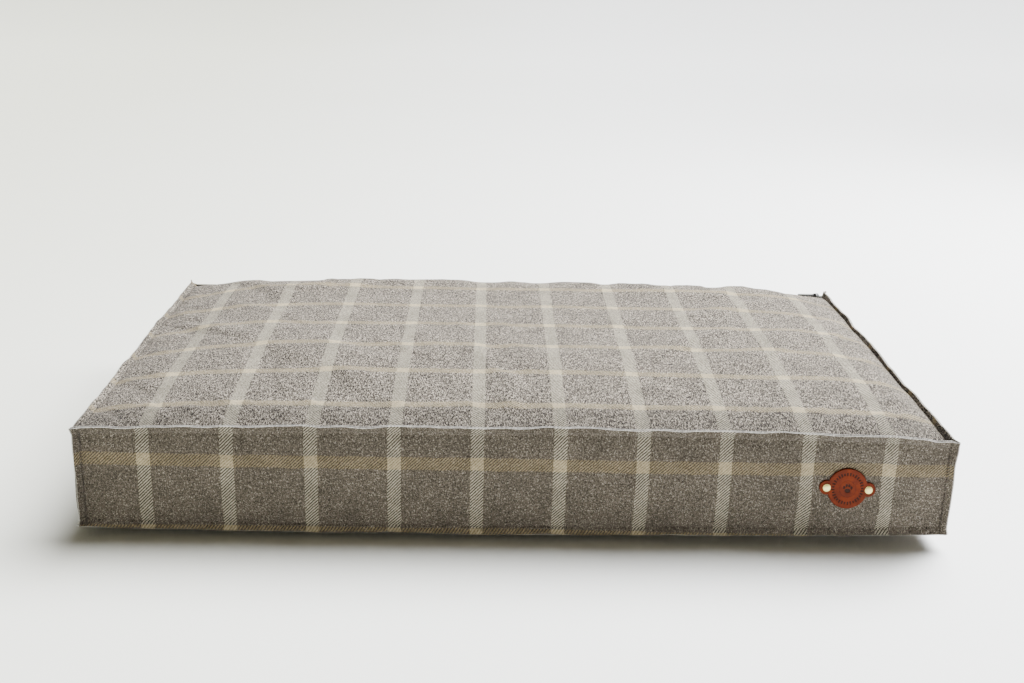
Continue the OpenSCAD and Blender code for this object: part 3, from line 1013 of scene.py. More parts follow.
@dataclass
class Seam:
    """The flange of one horizontal seam: its plane leans outwards and wanders a little."""

    side: Side
    top: bool

    def __post_init__(self) -> None:
        """Draws the flange's own waves."""
        seed = 40 + 10 * self.side.value + self.top
        self.wave = Ripple(seed, 0.9 * MM, 0.33, 0.03)
        self.sway = Ripple(seed + 500, 0.16, 0.25, 0.04)
        self.trim = Ripple(seed + 900, 0.35 * MM, 0.2, 0.025)

    def base(self, along: Array) -> tuple[Array, Array]:
        """Returns the outward place and the height of the seam itself, which doesn't wave at the corners.

        Args:
            along: Places along the side.

        Returns:
            Two lists, outward and up.
        """
        share = np.abs(np.clip(along / SIZES.half_length(self.side), -1, 1))
        free = 0.0 * share if self.top and self.side is Side.BACK else 1 - share**6
        wave = self.wave.at(along) * free
        out = SIZES.out(self.side) + 0.6 * wave - 1.0 * MM * (1 - share**2)
        if self.top:
            return out, SIZES.seam_hi + SIZES.seam_bow(self.side, along) + wave
        start, end = CORNER_DROPS[self.side.value], CORNER_DROPS[(self.side.value + 1) % 4]
        way = (np.clip(along / SIZES.half_length(self.side), -1, 1) + 1) / 2
        return out, SIZES.seam_lo - (1 - way) * start - way * end - SIZES.sag * (1 - share**2) + wave

    def plane(self, along: Array, share: Array, offset: float) -> tuple[Array, Array]:
        """Returns the outward place and height of a point of the flange.

        Args:
            along: Places along the side.
            share: How far up the flange, from 0 at the seam to 1 at the tip.
            offset: Distance from the plane between the two cloths, positive towards the band.

        Returns:
            Two grids, outward and up.
        """
        out, up = self.base(along)
        ends = np.abs(np.clip(along / SIZES.half_length(self.side), -1, 1)) ** 8
        lean = SIZES.leans[self.side.value] * (1 + 0.25 * ends) + self.sway.at(along) * (0.5 + 0.5 * share)
        reach = share * (SIZES.flange + self.trim.at(along))
        sign = 1.0 if self.top else -1.0
        return (
            out + reach * np.sin(lean) + offset * np.cos(lean),
            up + sign * (reach * np.cos(lean) - offset * np.sin(lean)),
        )


SEAMS = {(side, top): Seam(side, top) for side in Side for top in (False, True)}


@dataclass
class Cover:
    """The wool cover: two panels and four bands, with their flanges."""

    columns: int = 236
    rows: int = 146
    band_rows: int = 30
    half: float = SIZES.cloth / 2

    @staticmethod
    def _arc(height: Array, places: Array, axis: int) -> Array:
        """Returns the length along a surface from the first place: the sum of sqrt(step^2 + rise^2).

        Args:
            height: The surface's height on a grid.
            places: The grid's places along the axis.
            axis: The axis to measure along.

        Returns:
            The length at each point of the grid.
        """
        step = np.diff(places).reshape((-1, 1) if axis == 0 else (1, -1))
        run = np.hypot(step, np.diff(height, axis=axis))
        zero = np.zeros_like(np.take(run, [0], axis))
        return np.concatenate([zero, np.cumsum(run, axis)], axis)

    def panel(self, top: bool) -> bpy.types.Object:
        """Makes the top or the bottom panel with its flange.

        The middle surface is the crown between the seams, with the seams' own bow and waves carried
        across it, and the flange beyond them. The top has a folded edge in place of a flange at the zip.

        Args:
            top: Whether it is the top panel.

        Returns:
            The panel as one closed sheet.
        """
        s = SIZES
        back = s.half_d - s.zip_gap if top else s.half_d
        xs, ys = graded(-s.half_w, s.half_w, self.columns), graded(-s.half_d, back, self.rows)
        x, y = np.meshgrid(xs, ys)
        flat = self._panel_height(x, y, xs, ys, top, back)
        cloth_u = self._arc(flat, xs, 1)
        cloth_u -= cloth_u[:, [self.columns // 2]]
        cloth_v = self._arc(flat, ys, 0)
        k = len(FLANGE_STEPS)
        rows, columns = len(ys) + k + (2 if top else k), len(xs) + 2 * k
        points = np.zeros((rows, columns, 3))
        cloth = np.zeros((rows, columns, 2))
        half = np.full((rows, columns), self.half)
        mid = (slice(k, k + len(ys)), slice(k, k + len(xs)))
        points[mid] = np.stack([x, y, flat], -1)
        cloth[mid] = np.stack([cloth_u, cloth_v], -1)
        self._panel_flange(points, cloth, half, xs, ys, top)
        close_rim(half)
        if top:
            return closed_sheet("top_panel_cloth", points, half, cloth, 1.0, self._painted_shade(points))
        return closed_sheet("bottom_panel_cloth", points[:, ::-1], half[:, ::-1], cloth[:, ::-1])

    @staticmethod
    def _painted_shade(points: Array) -> Array:
        """Returns the painted shade of the top: 0.08 in the field, more towards the front and left seams.

        Near the front it adds 0.24 / (1 + e^((d - 48 mm) / 3.5 mm)) and 0.10 e^(-d / 9 cm), and near the left
        0.08 e^(-d / 12 cm), where d is the distance from the seam.

        Args:
            points: The panel's points.

        Returns:
            One number for each point.
        """
        front = np.clip(points[..., 1] + SIZES.half_d, 0, None)
        left = np.clip(points[..., 0] + SIZES.half_w, 0, None)
        turned = 0.24 / (1 + np.exp(np.minimum((front - 0.048) / 0.0035, 30.0)))
        return 0.08 + turned + 0.10 * np.exp(-front / 0.09) + 0.08 * np.exp(-left / 0.12)

    def _panel_height(self, x: Array, y: Array, xs: Array, ys: Array, top: bool, back: float) -> Array:
        """Returns the height of a panel's middle surface between the seams.

        It is the seams' own height carried inwards, with the crown, the puckers and the lumps added on
        the top. The bottom hangs between its seams and lies flat on the floor in its middle.

        Args:
            x: Places across, on the grid.
            y: Places from front to back, on the grid.
            xs: The grid's places across.
            ys: The grid's places from front to back.
            top: Whether it is the top panel.
            back: Where the panel ends at the back.

        Returns:
            The height at each point of the grid.
        """
        s = SIZES
        share_x, share_y = (x / s.half_w + 1) / 2, (y + s.half_d) / (back + s.half_d)
        lift = [SEAMS[side, top].base(places * sign)[1] for side, places, sign in (
            (Side.FRONT, xs, 1), (Side.BACK, xs, -1), (Side.LEFT, ys, -1), (Side.RIGHT, ys, 1))]
        edge = self._carry(lift, share_x, share_y, s.seam_hi if top else s.seam_lo, top)
        crown = s.crown(x, y, back)
        pucker = LOOSE.at("top" if top else "bottom", xs, ys).T
        fade = np.minimum(1, crown / 0.05)
        lumps = Cover.lumps(x, y, 7 if top else 8) * np.minimum(1, crown / 0.5)
        if top:
            return edge + self.half + crown * s.crown_height + pucker * fade + lumps
        level = s.crown_even(x, y)
        drop = np.clip(1 - level / s.floor_share, 0, 1) ** s.floor_round
        free = np.minimum(1, drop / 0.25)
        under = (edge - s.cloth) * drop - (pucker * fade + lumps) * free
        return self.half + np.maximum(under, 0.05 * MM)

    @staticmethod
    def _carry(lines: Sequence[Array], share_x: Array, share_y: Array, level: float, top: bool) -> Array:
        """Returns a surface that meets four edge lines: front, back, left and right.

        On the top each line fades as exp(-distance / 4 cm). Below, the lines are blended straight across.

        Args:
            lines: The heights along the four edges.
            share_x: Shares of the way from left to right, on the grid.
            share_y: Shares of the way from front to back, on the grid.
            level: The height that the lines fade to.
            top: Whether it is the top panel.

        Returns:
            The height at each point of the grid.
        """
        front, back, left, right = (line - level for line in lines)
        if top:
            long, wide = 2 * SIZES.half_d / (40 * MM), 2 * SIZES.half_w / (40 * MM)
            fade = [np.exp(-share * reach) for share, reach in (
                (share_y, long), (1 - share_y, long), (share_x, wide), (1 - share_x, wide))]
            return level + (front[None] * fade[0] + back[None] * fade[1]
                            + left[:, None] * fade[2] + right[:, None] * fade[3])
        along_y = (1 - share_y) * front[None, :] + share_y * back[None, :]
        along_x = (1 - share_x) * left[:, None] + share_x * right[:, None]
        near_y = np.minimum(share_y, 1 - share_y)
        near_x = np.minimum(share_x, 1 - share_x)
        weight = near_x / np.maximum(near_x + near_y, 1e-9)
        return level + weight * along_y + (1 - weight) * along_x

    @staticmethod
    def lumps(x: Array, y: Array, seed: int) -> Array:
        """Returns the slow unevenness that the filling gives: crossed waves of seeded directions.

        Args:
            x: Places across.
            y: Places from front to back.
            seed: Fixes the draw.

        Returns:
            The height at each place.
        """
        draw = np.random.default_rng(seed)
        total = np.zeros_like(x)
        for length in (0.31, 0.24, 0.19, 0.14, 0.11, 0.085, 0.07):
            angle, phase = draw.uniform(0, math.tau, 2)
            total += length * np.sin((x * math.cos(angle) + y * math.sin(angle)) * math.tau / length + phase)
        return total * 1.7 * MM

    def _panel_flange(
        self, points: Array, cloth: Array, half: Array, xs: Array, ys: Array, top: bool
    ) -> None:
        """Fills in the flange round a panel's grid, its corners and the folded edge at the zip.

        Args:
            points: The panel's points, changed in place.
            cloth: Its cloth map, changed in place.
            half: Half of its thickness, changed in place.
            xs: The places across between the seams.
            ys: The places from front to back between the seams.
            top: Whether it is the top panel, which has the folded edge.
        """
        k, nx, ny = len(FLANGE_STEPS), len(xs), len(ys)
        steps = FLANGE_STEPS[:, None]
        thin = nose(FLANGE_STEPS, SIZES.flange, self.half)
        reach = FLANGE_STEPS * SIZES.flange

        def strip(side: Side, places: Array) -> Array:
            """Returns the points of one side's flange, from its seam outwards."""
            out, up = SEAMS[side, top].plane(places[None, :], steps, -self.half)
            return side.place(places[None, :], out, up)

        left, right = strip(Side.LEFT, -ys), strip(Side.RIGHT, ys)
        front = strip(Side.FRONT, xs)
        middle = slice(k, k + ny)
        points[middle, :k] = left.transpose(1, 0, 2)[:, ::-1]
        points[middle, k + nx:] = right.transpose(1, 0, 2)
        points[:k, k:k + nx] = front[::-1]
        half[middle, :k], half[middle, k + nx:] = thin[::-1], thin
        half[:k] = np.minimum(half[:k], thin[::-1, None])
        cloth[:, :k, 1] = cloth[:, [k], 1]
        cloth[:, :k, 0] = cloth[:, [k], 0] - reach[::-1]
        cloth[:, k + nx:, 1] = cloth[:, [k + nx - 1], 1]
        cloth[:, k + nx:, 0] = cloth[:, [k + nx - 1], 0] + reach
        cloth[:k, :, 0] = cloth[[k], :, 0]
        cloth[:k, :, 1] = cloth[[k], :, 1] - reach[::-1, None]
        last = k + ny
        if top:
            fold = points[last - 1]
            points[last] = fold + np.array([0, 0.5, -0.25]) * MM
            points[last + 1] = fold + np.array([0, 0.6, -0.7]) * MM
            cloth[last:] = cloth[last - 1]
            cloth[last:, :, 1] += 0.6 * MM
            half[last] = 0.5 * self.half
        else:
            back = strip(Side.BACK, -xs)
            points[last:, k:k + nx] = back
            half[last:] = np.minimum(half[last:], thin[:, None])
            cloth[last:, :, 0] = cloth[[last - 1], :, 0]
            cloth[last:, :, 1] = cloth[[last - 1], :, 1] + reach[:, None]
        self._panel_corners(points, k, nx, ny, top)

    @staticmethod
    def _panel_corners(points: Array, k: int, nx: int, ny: int, top: bool) -> None:
        """Fills the corner blocks: each point adds the flanges' outward steps and takes the larger rise.

        Args:
            points: The panel's points, changed in place.
            k: How many points there are across the flange.
            nx: How many there are across between the seams.
            ny: How many there are from front to back between the seams.
            top: Whether it is the top panel, which has no flange at the back.
        """
        low, right, rear = slice(k - 1, None, -1), slice(k + nx, 2 * k + nx), slice(k + ny, 2 * k + ny)
        for rows, row_edge in [(low, k)] if top else [(low, k), (rear, k + ny - 1)]:
            for columns, column_edge in ((low, k), (right, k + nx - 1)):
                seat = points[row_edge, column_edge]
                by_row = points[rows, column_edge] - seat
                by_column = points[row_edge, columns] - seat
                block = seat + by_row[:, None] + by_column[None, :]
                rise_r, rise_c = by_row[:, None, 2], by_column[None, :, 2]
                larger = np.where(np.abs(rise_r) > np.abs(rise_c), rise_r, rise_c)
                block[..., 2] = seat[2] + larger
                out_by, rise = SIZES.corner_tip(seat[2] > SIZES.seam_hi - 5 * MM)
                tip = np.array([math.copysign(out_by, seat[0]), math.copysign(out_by, seat[1]), rise])
                both = (FLANGE_STEPS[:, None] * FLANGE_STEPS[None, :])[..., None] ** 2
                block += (tip - (block[-1, -1] - seat)) * both
                points[rows, columns] = block
        if top:
            last = k + ny
            for columns in (slice(0, k), right):
                edge = points[last - 1, columns]
                points[last, columns] = edge + np.array([0, 0.4, 0]) * MM
                points[last + 1, columns] = edge + np.array([0, 0.6, 0]) * MM

    def band(self, side: Side) -> bpy.types.Object:
        """Makes a side band with its flanges above, below and at both ends.

        Up the band the middle surface stands out by bulge (1 - |t|^3.4) between its seams, t from -1 to 1.

        Args:
            side: Which side it is on.

        Returns:
            The band as one closed sheet.
        """
        s = SIZES
        length, k = s.half_length(side), len(FLANGE_STEPS)
        zipped = side is Side.BACK
        count = self.columns if side in (Side.FRONT, Side.BACK) else self.rows
        along = graded(-length, length, count)
        t = graded(-1, 1, self.band_rows, 0.6)
        low_out, low_up = SEAMS[side, False].base(along)
        high_out, high_up = SEAMS[side, True].base(along)
        if zipped:
            high_out, high_up = np.full_like(along, s.half_d), np.full_like(along, s.seam_hi + 0.6 * MM)
        share = ((t + 1) / 2)[:, None]
        ends = (1 - np.abs(along / length) ** 9)[None, :]
        round_t = 1 - np.abs(t[:, None]) ** 3.4
        tall = (s.seam_hi - s.seam_lo) / 2
        flip = -1 if side in (Side.BACK, Side.LEFT) else 1
        pucker = LOOSE.at(side, flip * along, t * tall).T
        slow_x, slow_t = np.broadcast_arrays(along[None, :] * 1.7, t[:, None] * 0.11)
        waves = Cover.lumps(slow_x, slow_t, 20 + side.value)
        out = (1 - share) * low_out + share * high_out + self.half
        out = out + (s.bulge * round_t + pucker * round_t + 0.55 * waves * round_t) * ends
        up = (1 - share) * low_up + share * high_up
        if side is Side.FRONT:
            out = self._flatten_seat(out, along, up)
        main = side.place(np.broadcast_to(along, out.shape), out, up)
        above = 2 if zipped else k
        points = np.zeros((k + len(t) + above, len(along) + 2 * k, 3))
        half = np.full(points.shape[:2], self.half)
        middle = slice(k, k + len(along))
        points[k:k + len(t), middle] = main
        thin = nose(FLANGE_STEPS, s.flange, self.half)
        low = SEAMS[side, False].plane(along[None, :], FLANGE_STEPS[:, None], self.half)
        points[:k, middle] = side.place(np.broadcast_to(along, low[0].shape), *low)[::-1]
        if zipped:
            points[k + len(t), middle] = side.place(along, out[-1] - 0.5 * MM, up[-1] + 0.6 * MM)
            points[k + len(t) + 1, middle] = side.place(along, out[-1] - 1.2 * MM, up[-1] + 0.4 * MM)
        else:
            high = SEAMS[side, True].plane(along[None, :], FLANGE_STEPS[:, None], self.half)
            points[k + len(t):, middle] = side.place(np.broadcast_to(along, high[0].shape), *high)
        half[:k] = np.minimum(half[:k], thin[::-1, None])
        if not zipped:
            half[k + len(t):] = np.minimum(half[k + len(t):], thin[:, None])
        self._band_ends(points, half, side, up, k, len(t), above)
        close_rim(half)
        cloth = self._band_cloth(side, points, along, up, k, len(t), above)
        # Painted shade: darker in the top 28 mm of each band, and on the front band towards the left, away
        # from the light
        lie = 0.09 / (1 + np.exp(np.clip((s.seam_hi - points[..., 2] - 0.028) / 0.004, -30, 30)))
        if side is Side.FRONT:
            lie = lie + 0.07 * np.exp(-np.clip(points[..., 0] + s.half_w, 0, None) / 0.25)
        return closed_sheet(f"{side.name.lower()}_band_cloth", points, half, cloth, 0.0, lie)

    def _flatten_seat(self, out: Array, along: Array, up: Array) -> Array:
        """Returns a front band drawn flat under the badge: its share falls as e^(-(distance / 14 mm)^2).

        Args:
            out: The band's outward places on its grid.
            along: The grid's places along the band.
            up: Its heights.

        Returns:
            The outward places.
        """
        low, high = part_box("leather_badge")
        across = np.clip(np.abs(along[None, :] - (low.x + high.x) / 2) - (high.x - low.x) / 2, 0, None)
        over = np.clip(np.abs(up - (low.z + high.z) / 2) - (high.z - low.z) / 2, 0, None)
        near = np.exp(-((np.hypot(across, over) / (14 * MM)) ** 2))
        seat = SIZES.seat_out - SIZES.seat_lean * (up - (low.z + high.z) / 2)
        return out + near * (SIZES.half_d + self.half + seat - out)

    def top_at(self, xs: Array, ys: Array) -> Array:
        """Returns the height of the top panel's middle surface on the grid of two lists of places."""
        x, y = np.meshgrid(xs, ys)
        return self._panel_height(x, y, xs, ys, True, SIZES.half_d - SIZES.zip_gap)

    def _band_ends(
        self, points: Array, half: Array, side: Side, up: Array, k: int, nt: int, above: int
    ) -> None:
        """Fills a band's upright flanges, which stand out diagonally, and the blocks at their ends.

        Args:
            points: The band's points, changed in place.
            half: Half of its thickness, changed in place.
            side: The side that it is on.
            up: Heights on the grid between its seams.
            k: How many points there are across a flange.
            nt: How many there are up the band between its seams.
            above: How many rows of points there are above its top seam.
        """
        s = SIZES
        length, out = s.half_length(side), s.out(side)
        thin = nose(FLANGE_STEPS, s.flange, self.half)
        left, right = (-1, slice(k - 1, None, -1), k), (1, slice(points.shape[1] - k, None), -k - 1)
        for end, columns, edge in (left, right):
            heights = up[:, 0 if end < 0 else -1]
            wave = Ripple(70 + side.value + (end > 0), 0.5 * MM, 0.12, 0.03).at(heights)
            reach = FLANGE_STEPS[None, :] * (s.flange + wave[:, None])
            root = 1 / math.sqrt(2)
            along = end * (length + root * (reach - self.half))
            outward = out + root * (reach + self.half)
            points[k:k + nt, columns] = side.place(along, outward, heights[:, None])
            half[:, columns] = np.minimum(half[:, columns], thin[None, :])
            for rows, row_edge in ((slice(k - 1, None, -1), k), (slice(k + nt, k + nt + above), k + nt - 1)):
                seat = points[row_edge, edge]
                by_row = points[rows, edge] - seat
                by_column = points[row_edge, columns] - seat
                reach_r = np.linalg.norm(by_row, axis=-1)[:, None, None] / s.flange
                reach_c = np.linalg.norm(by_column, axis=-1)[None, :, None] / s.flange
                out_by, rise = s.corner_tip(row_edge > k)
                tip = side.place(end * out_by, out_by, rise)
                pull = (tip - by_row[-1] - by_column[-1]) * np.clip(reach_r * reach_c, 0, 1)
                free = 0.0 if above == 2 and row_edge > k else 1.0
                points[rows, columns] = seat + by_row[:, None] + by_column[None, :] + free * pull

    def _band_cloth(
        self, side: Side, points: Array, along: Array, up: Array, k: int, nt: int, above: int
    ) -> Array:
        """Returns the cloth map of a band: the top's pattern carried on over the seam and down.

        Args:
            side: The side that it is on.
            points: The band's points.
            along: Places along it between its corners.
            up: Heights on the grid between its seams.
            k: How many points there are across a flange.
            nt: How many there are up the band between its seams.
            above: How many rows of points there are above its top seam.

        Returns:
            Two numbers in metres for each point.
        """
        s = SIZES
        reach = FLANGE_STEPS * s.flange
        wide = np.concatenate([along[0] - reach[::-1], along, along[-1] + reach])
        down = np.zeros((points.shape[0], len(along)))
        down[k:k + nt] = s.seam_hi - up
        down[:k] = down[k] + 0.7 * reach[::-1, None]
        down[k + nt:] = down[k + nt - 1] - (reach[:, None] if above == k else np.array([[0.5], [1.2]]) * MM)
        down = np.concatenate([np.repeat(down[:, :1], k, 1), down, np.repeat(down[:, -1:], k, 1)], 1)
        wide = np.broadcast_to(wide, down.shape)
        if side is Side.FRONT:
            return np.stack([wide, -down - 1.5 * MM], -1)
        if side is Side.BACK:
            return np.stack([-wide, 2 * s.half_d + down], -1)
        sign = 1 if side is Side.RIGHT else -1
        return np.stack([sign * (s.half_w + 4 * MM + down), s.half_d + sign * wide], -1)

    def build(self) -> None:
        s = SIZES
        allowance = 2 * s.flange
        for top, node in ((True, "top_panel"), (False, "bottom_panel")):
            piece = dress(self.panel(top), Finish.WOOL, "root", node)
        for side in Side:
            piece = dress(self.band(side), Finish.WOOL, "root", f"{side.name.lower()}_band")
            long = 2 * s.half_length(side) + allowance


# ---------------------------------------------------------------- stitches

def tubes(paths: Array, radius: Any, guide: Array, sides: int = 6) -> tuple[Array, Array]:
    """Returns closed round tubes along many paths at once.

    Round each path point stands a ring: radius times (side cos a + up sin a), with side and up square
    to the path. The two ends are closed with quads.

    Args:
        paths: Path points, tubes by points by 3.
        radius: One radius, or one for each path point.
        guide: A direction that is never along the paths.
        sides: How many corners a ring has, an even number.

    Returns:
        The points and the quads.
    """
    ahead = unit(np.gradient(paths, axis=1))
    side = unit(np.cross(ahead, guide))
    up = np.cross(side, ahead)
    turn = np.arange(sides) * math.tau / sides
    ring = side[:, :, None] * np.cos(turn)[:, None] + up[:, :, None] * np.sin(turn)[:, None]
    points = paths[:, :, None] + ring * np.broadcast_to(radius, paths.shape[1])[:, None, None]
    number = np.arange(points[..., 0].size).reshape(points.shape[:3])
    return points.reshape(-1, 3), ring_faces(number)


@dataclass
class Topstitching:
    """Single stitches through the flanges, on both of their faces."""

    pitch: float = 4.0 * MM
    length: float = 3.1 * MM
    radius: float = 0.28 * MM
    share: float = 0.34

    def __post_init__(self) -> None:
        """Sets the shape of one stitch: flat on the cloth and diving into it at both ends."""
        self.t = np.linspace(-1, 1, 6)
        self.lift = SIZES.cloth + (0.16 - 0.75 * self.t**6) * MM

    def _centres(self, half_length: float) -> Array:
        """Returns the middles of the stitches of a line, a whole number of pitches apart."""
        count = int(2 * (half_length - 6 * MM) / self.pitch)
        return (np.arange(count + 1) - count / 2) * self.pitch

    def level_line(self, side: Side, top: bool) -> list[Array]:
        """Returns the stitches of a level flange.

        Args:
            side: The side that it is on.
            top: Whether it is the upper one.

        Returns:
            The stitches of each of its two faces, stitches by points by 3.
        """
        along = self._centres(SIZES.half_length(side))[:, None] + self.t * self.length / 2
        lines = []
        for face in (1, -1):
            out, up = SEAMS[side, top].plane(along, self.share, face * self.lift)
            lines.append(side.place(along, out, up))
        return lines

    def upright_line(self, side: Side) -> list[Array]:
        """Returns the stitches of the upright flange at the right end of a side.

        Args:
            side: The side.

        Returns:
            The stitches of each of its two faces, stitches by points by 3.
        """
        middle, root = (SIZES.seam_hi + SIZES.seam_lo) / 2, 1 / math.sqrt(2)
        up = middle + self._centres((SIZES.seam_hi - SIZES.seam_lo) / 2)[:, None] + self.t * self.length / 2
        reach = self.share * SIZES.flange
        lines = []
        for face in (1, -1):
            along = SIZES.half_length(side) + root * (reach - face * self.lift)
            out = SIZES.out(side) + root * (reach + face * self.lift)
            lines.append(side.place(along[None], out[None], up))
        return lines

    def fold_line(self, cover: "Cover") -> Array:
        """Returns the stitches through the top panel's folded edge and the zip tape.

        Args:
            cover: The cover that they lie on.

        Returns:
            The stitches, stitches by points by 3.
        """
        x = self._centres(SIZES.half_w)[:, None] + self.t * self.length / 2
        back = SIZES.half_d - SIZES.zip_gap
        y = back - 2 * MM
        high = cover.top_at(x.ravel(), np.array([y])).reshape(x.shape)
        return np.stack(np.broadcast_arrays(x, y, high + self.lift - SIZES.cloth / 2), -1)

    def _make(self, name: str, lines: Sequence[Array], guide: Sequence[float]) -> None:
        """Makes one piece of many stitches.

        Args:
            name: The CAD node that it stands for.
            lines: The stitches, in any number of lines.
            guide: A direction that no stitch runs along.
        """
        swell = self.radius * (1 - 0.3 * self.t**4)
        points, faces = tubes(np.concatenate(lines), swell, np.array(guide, float))
        dress(make_mesh(f"{name}_stitches", points, faces), Finish.THREAD, "root", name)

    def build(self, cover: "Cover") -> None:
        """Makes the three sets of stitches.

        Args:
            cover: The cover that they lie on.
        """
        top = [line for side in (Side.FRONT, Side.LEFT, Side.RIGHT) for line in self.level_line(side, True)]
        self._make("topstitch_top", [*top, self.fold_line(cover)], (0, 0, 1))
        low = [line for side in Side for line in self.level_line(side, False)]
        self._make("topstitch_bottom", low, (0, 0, 1))
        upright = [line for side in Side for line in self.upright_line(side)]
        self._make("topstitch_corners", upright, (1, 0.3, 0))


# ---------------------------------------------------------------- zip

@dataclass
class Zip:
    """The zip along the back of the top: two tapes, two nylon coils, and its metal parts."""

    turn_pitch: float = 1.5 * MM
    wire: float = 0.3 * MM
    per_turn: int = 10
    tape_half: float = 0.3 * MM

    def coil(self, side: str) -> None:
        """Makes one coil: a flattened helix of nylon wire.

        The wire goes along x at one pitch a turn while y and z go round an ellipse inside the CAD bar.

        Args:
            side: "front" or "rear".
        """
        node = f"zip_coil_{side}"
        low, high = (np.array(corner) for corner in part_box(node))
        middle, reach = (low + high) / 2, (high - low) / 2 - self.wire
        turns = 2 * reach[0] / self.turn_pitch
        turn = np.linspace(0, math.tau * turns, int(turns * self.per_turn))
        way = 1 if side == "front" else -1
        x = middle[0] - reach[0] + self.turn_pitch * turn / math.tau
        y = middle[1] + way * reach[1] * np.cos(turn)
        z = middle[2] + reach[2] * np.sin(turn)
        points, faces = tubes(np.stack([x, y, z], -1)[None], self.wire, np.array([1.0, 0.0, 0.0]))
        dress(make_mesh(f"{node}_helix", points, faces), Finish.COIL, "root", node)

    def tape(self, side: str, profile: Sequence[tuple[float, float]]) -> None:
        """Makes one tape: a profile in y and z carried along x.

        Args:
            side: "front" or "rear".
            profile: Points of its section as (y, z), from its toothed edge.
        """
        node = f"zip_tape_{side}"
        low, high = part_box(node)
        corner = np.array(profile)
        run = lengths(corner)
        steps = np.linspace(0, run[-1], 24)
        y, z = np.interp(steps, run, corner[:, 0]), np.interp(steps, run, corner[:, 1])
        xs = np.linspace(low.x, high.x, 300)
        points = np.stack(np.broadcast_arrays(xs[None, :], y[:, None], z[:, None]), -1)
        if side == "front":
            points = points[::-1]
        half = np.full(points.shape[:2], self.tape_half)
        close_rim(half)
        half[1] = half[-2] = 0.8 * self.tape_half
        cloth = np.stack(np.broadcast_arrays(xs[None, :], steps[:, None]), -1)
        piece = dress(closed_sheet(f"{node}_cloth", points, half, cloth), Finish.TAPE, "root", node)

    def build(self) -> None:
        """Makes the coils and tapes, and gives the CAD's own metal parts their finish."""
        for side in ("front", "rear"):
            self.coil(side)
        front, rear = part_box("zip_tape_front"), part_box("zip_tape_rear")
        level = front[1].z - self.tape_half
        inside = rear[1].y - self.tape_half
        self.tape("front", [(front[1].y, level), (front[0].y, level)])
        bend = 0.6 * MM
        self.tape("rear", [
            (rear[0].y, level), (inside - bend, level), (inside - 0.3 * bend, level - 0.3 * bend),
            (inside, level - bend), (inside, rear[0].z)])
        for node in ("zip_slider", "zip_pull", "zip_top_stops", "zip_bottom_stop"):
            carry(node, Finish.ZIP_METAL)


def carry(node: str, finish: Finish) -> None:
    """Gives a CAD node that stays as it is its finish.

    Args:
        node: The node's name.
        finish: Its finish.
    """
    piece = bpy.data.objects[node]
    piece.data.materials.clear()
    piece.data.materials.append(WARDROBE.get(finish))
    log.info("%s: the frame's own piece, in %s", node, finish.value)


# ---------------------------------------------------------------- badge

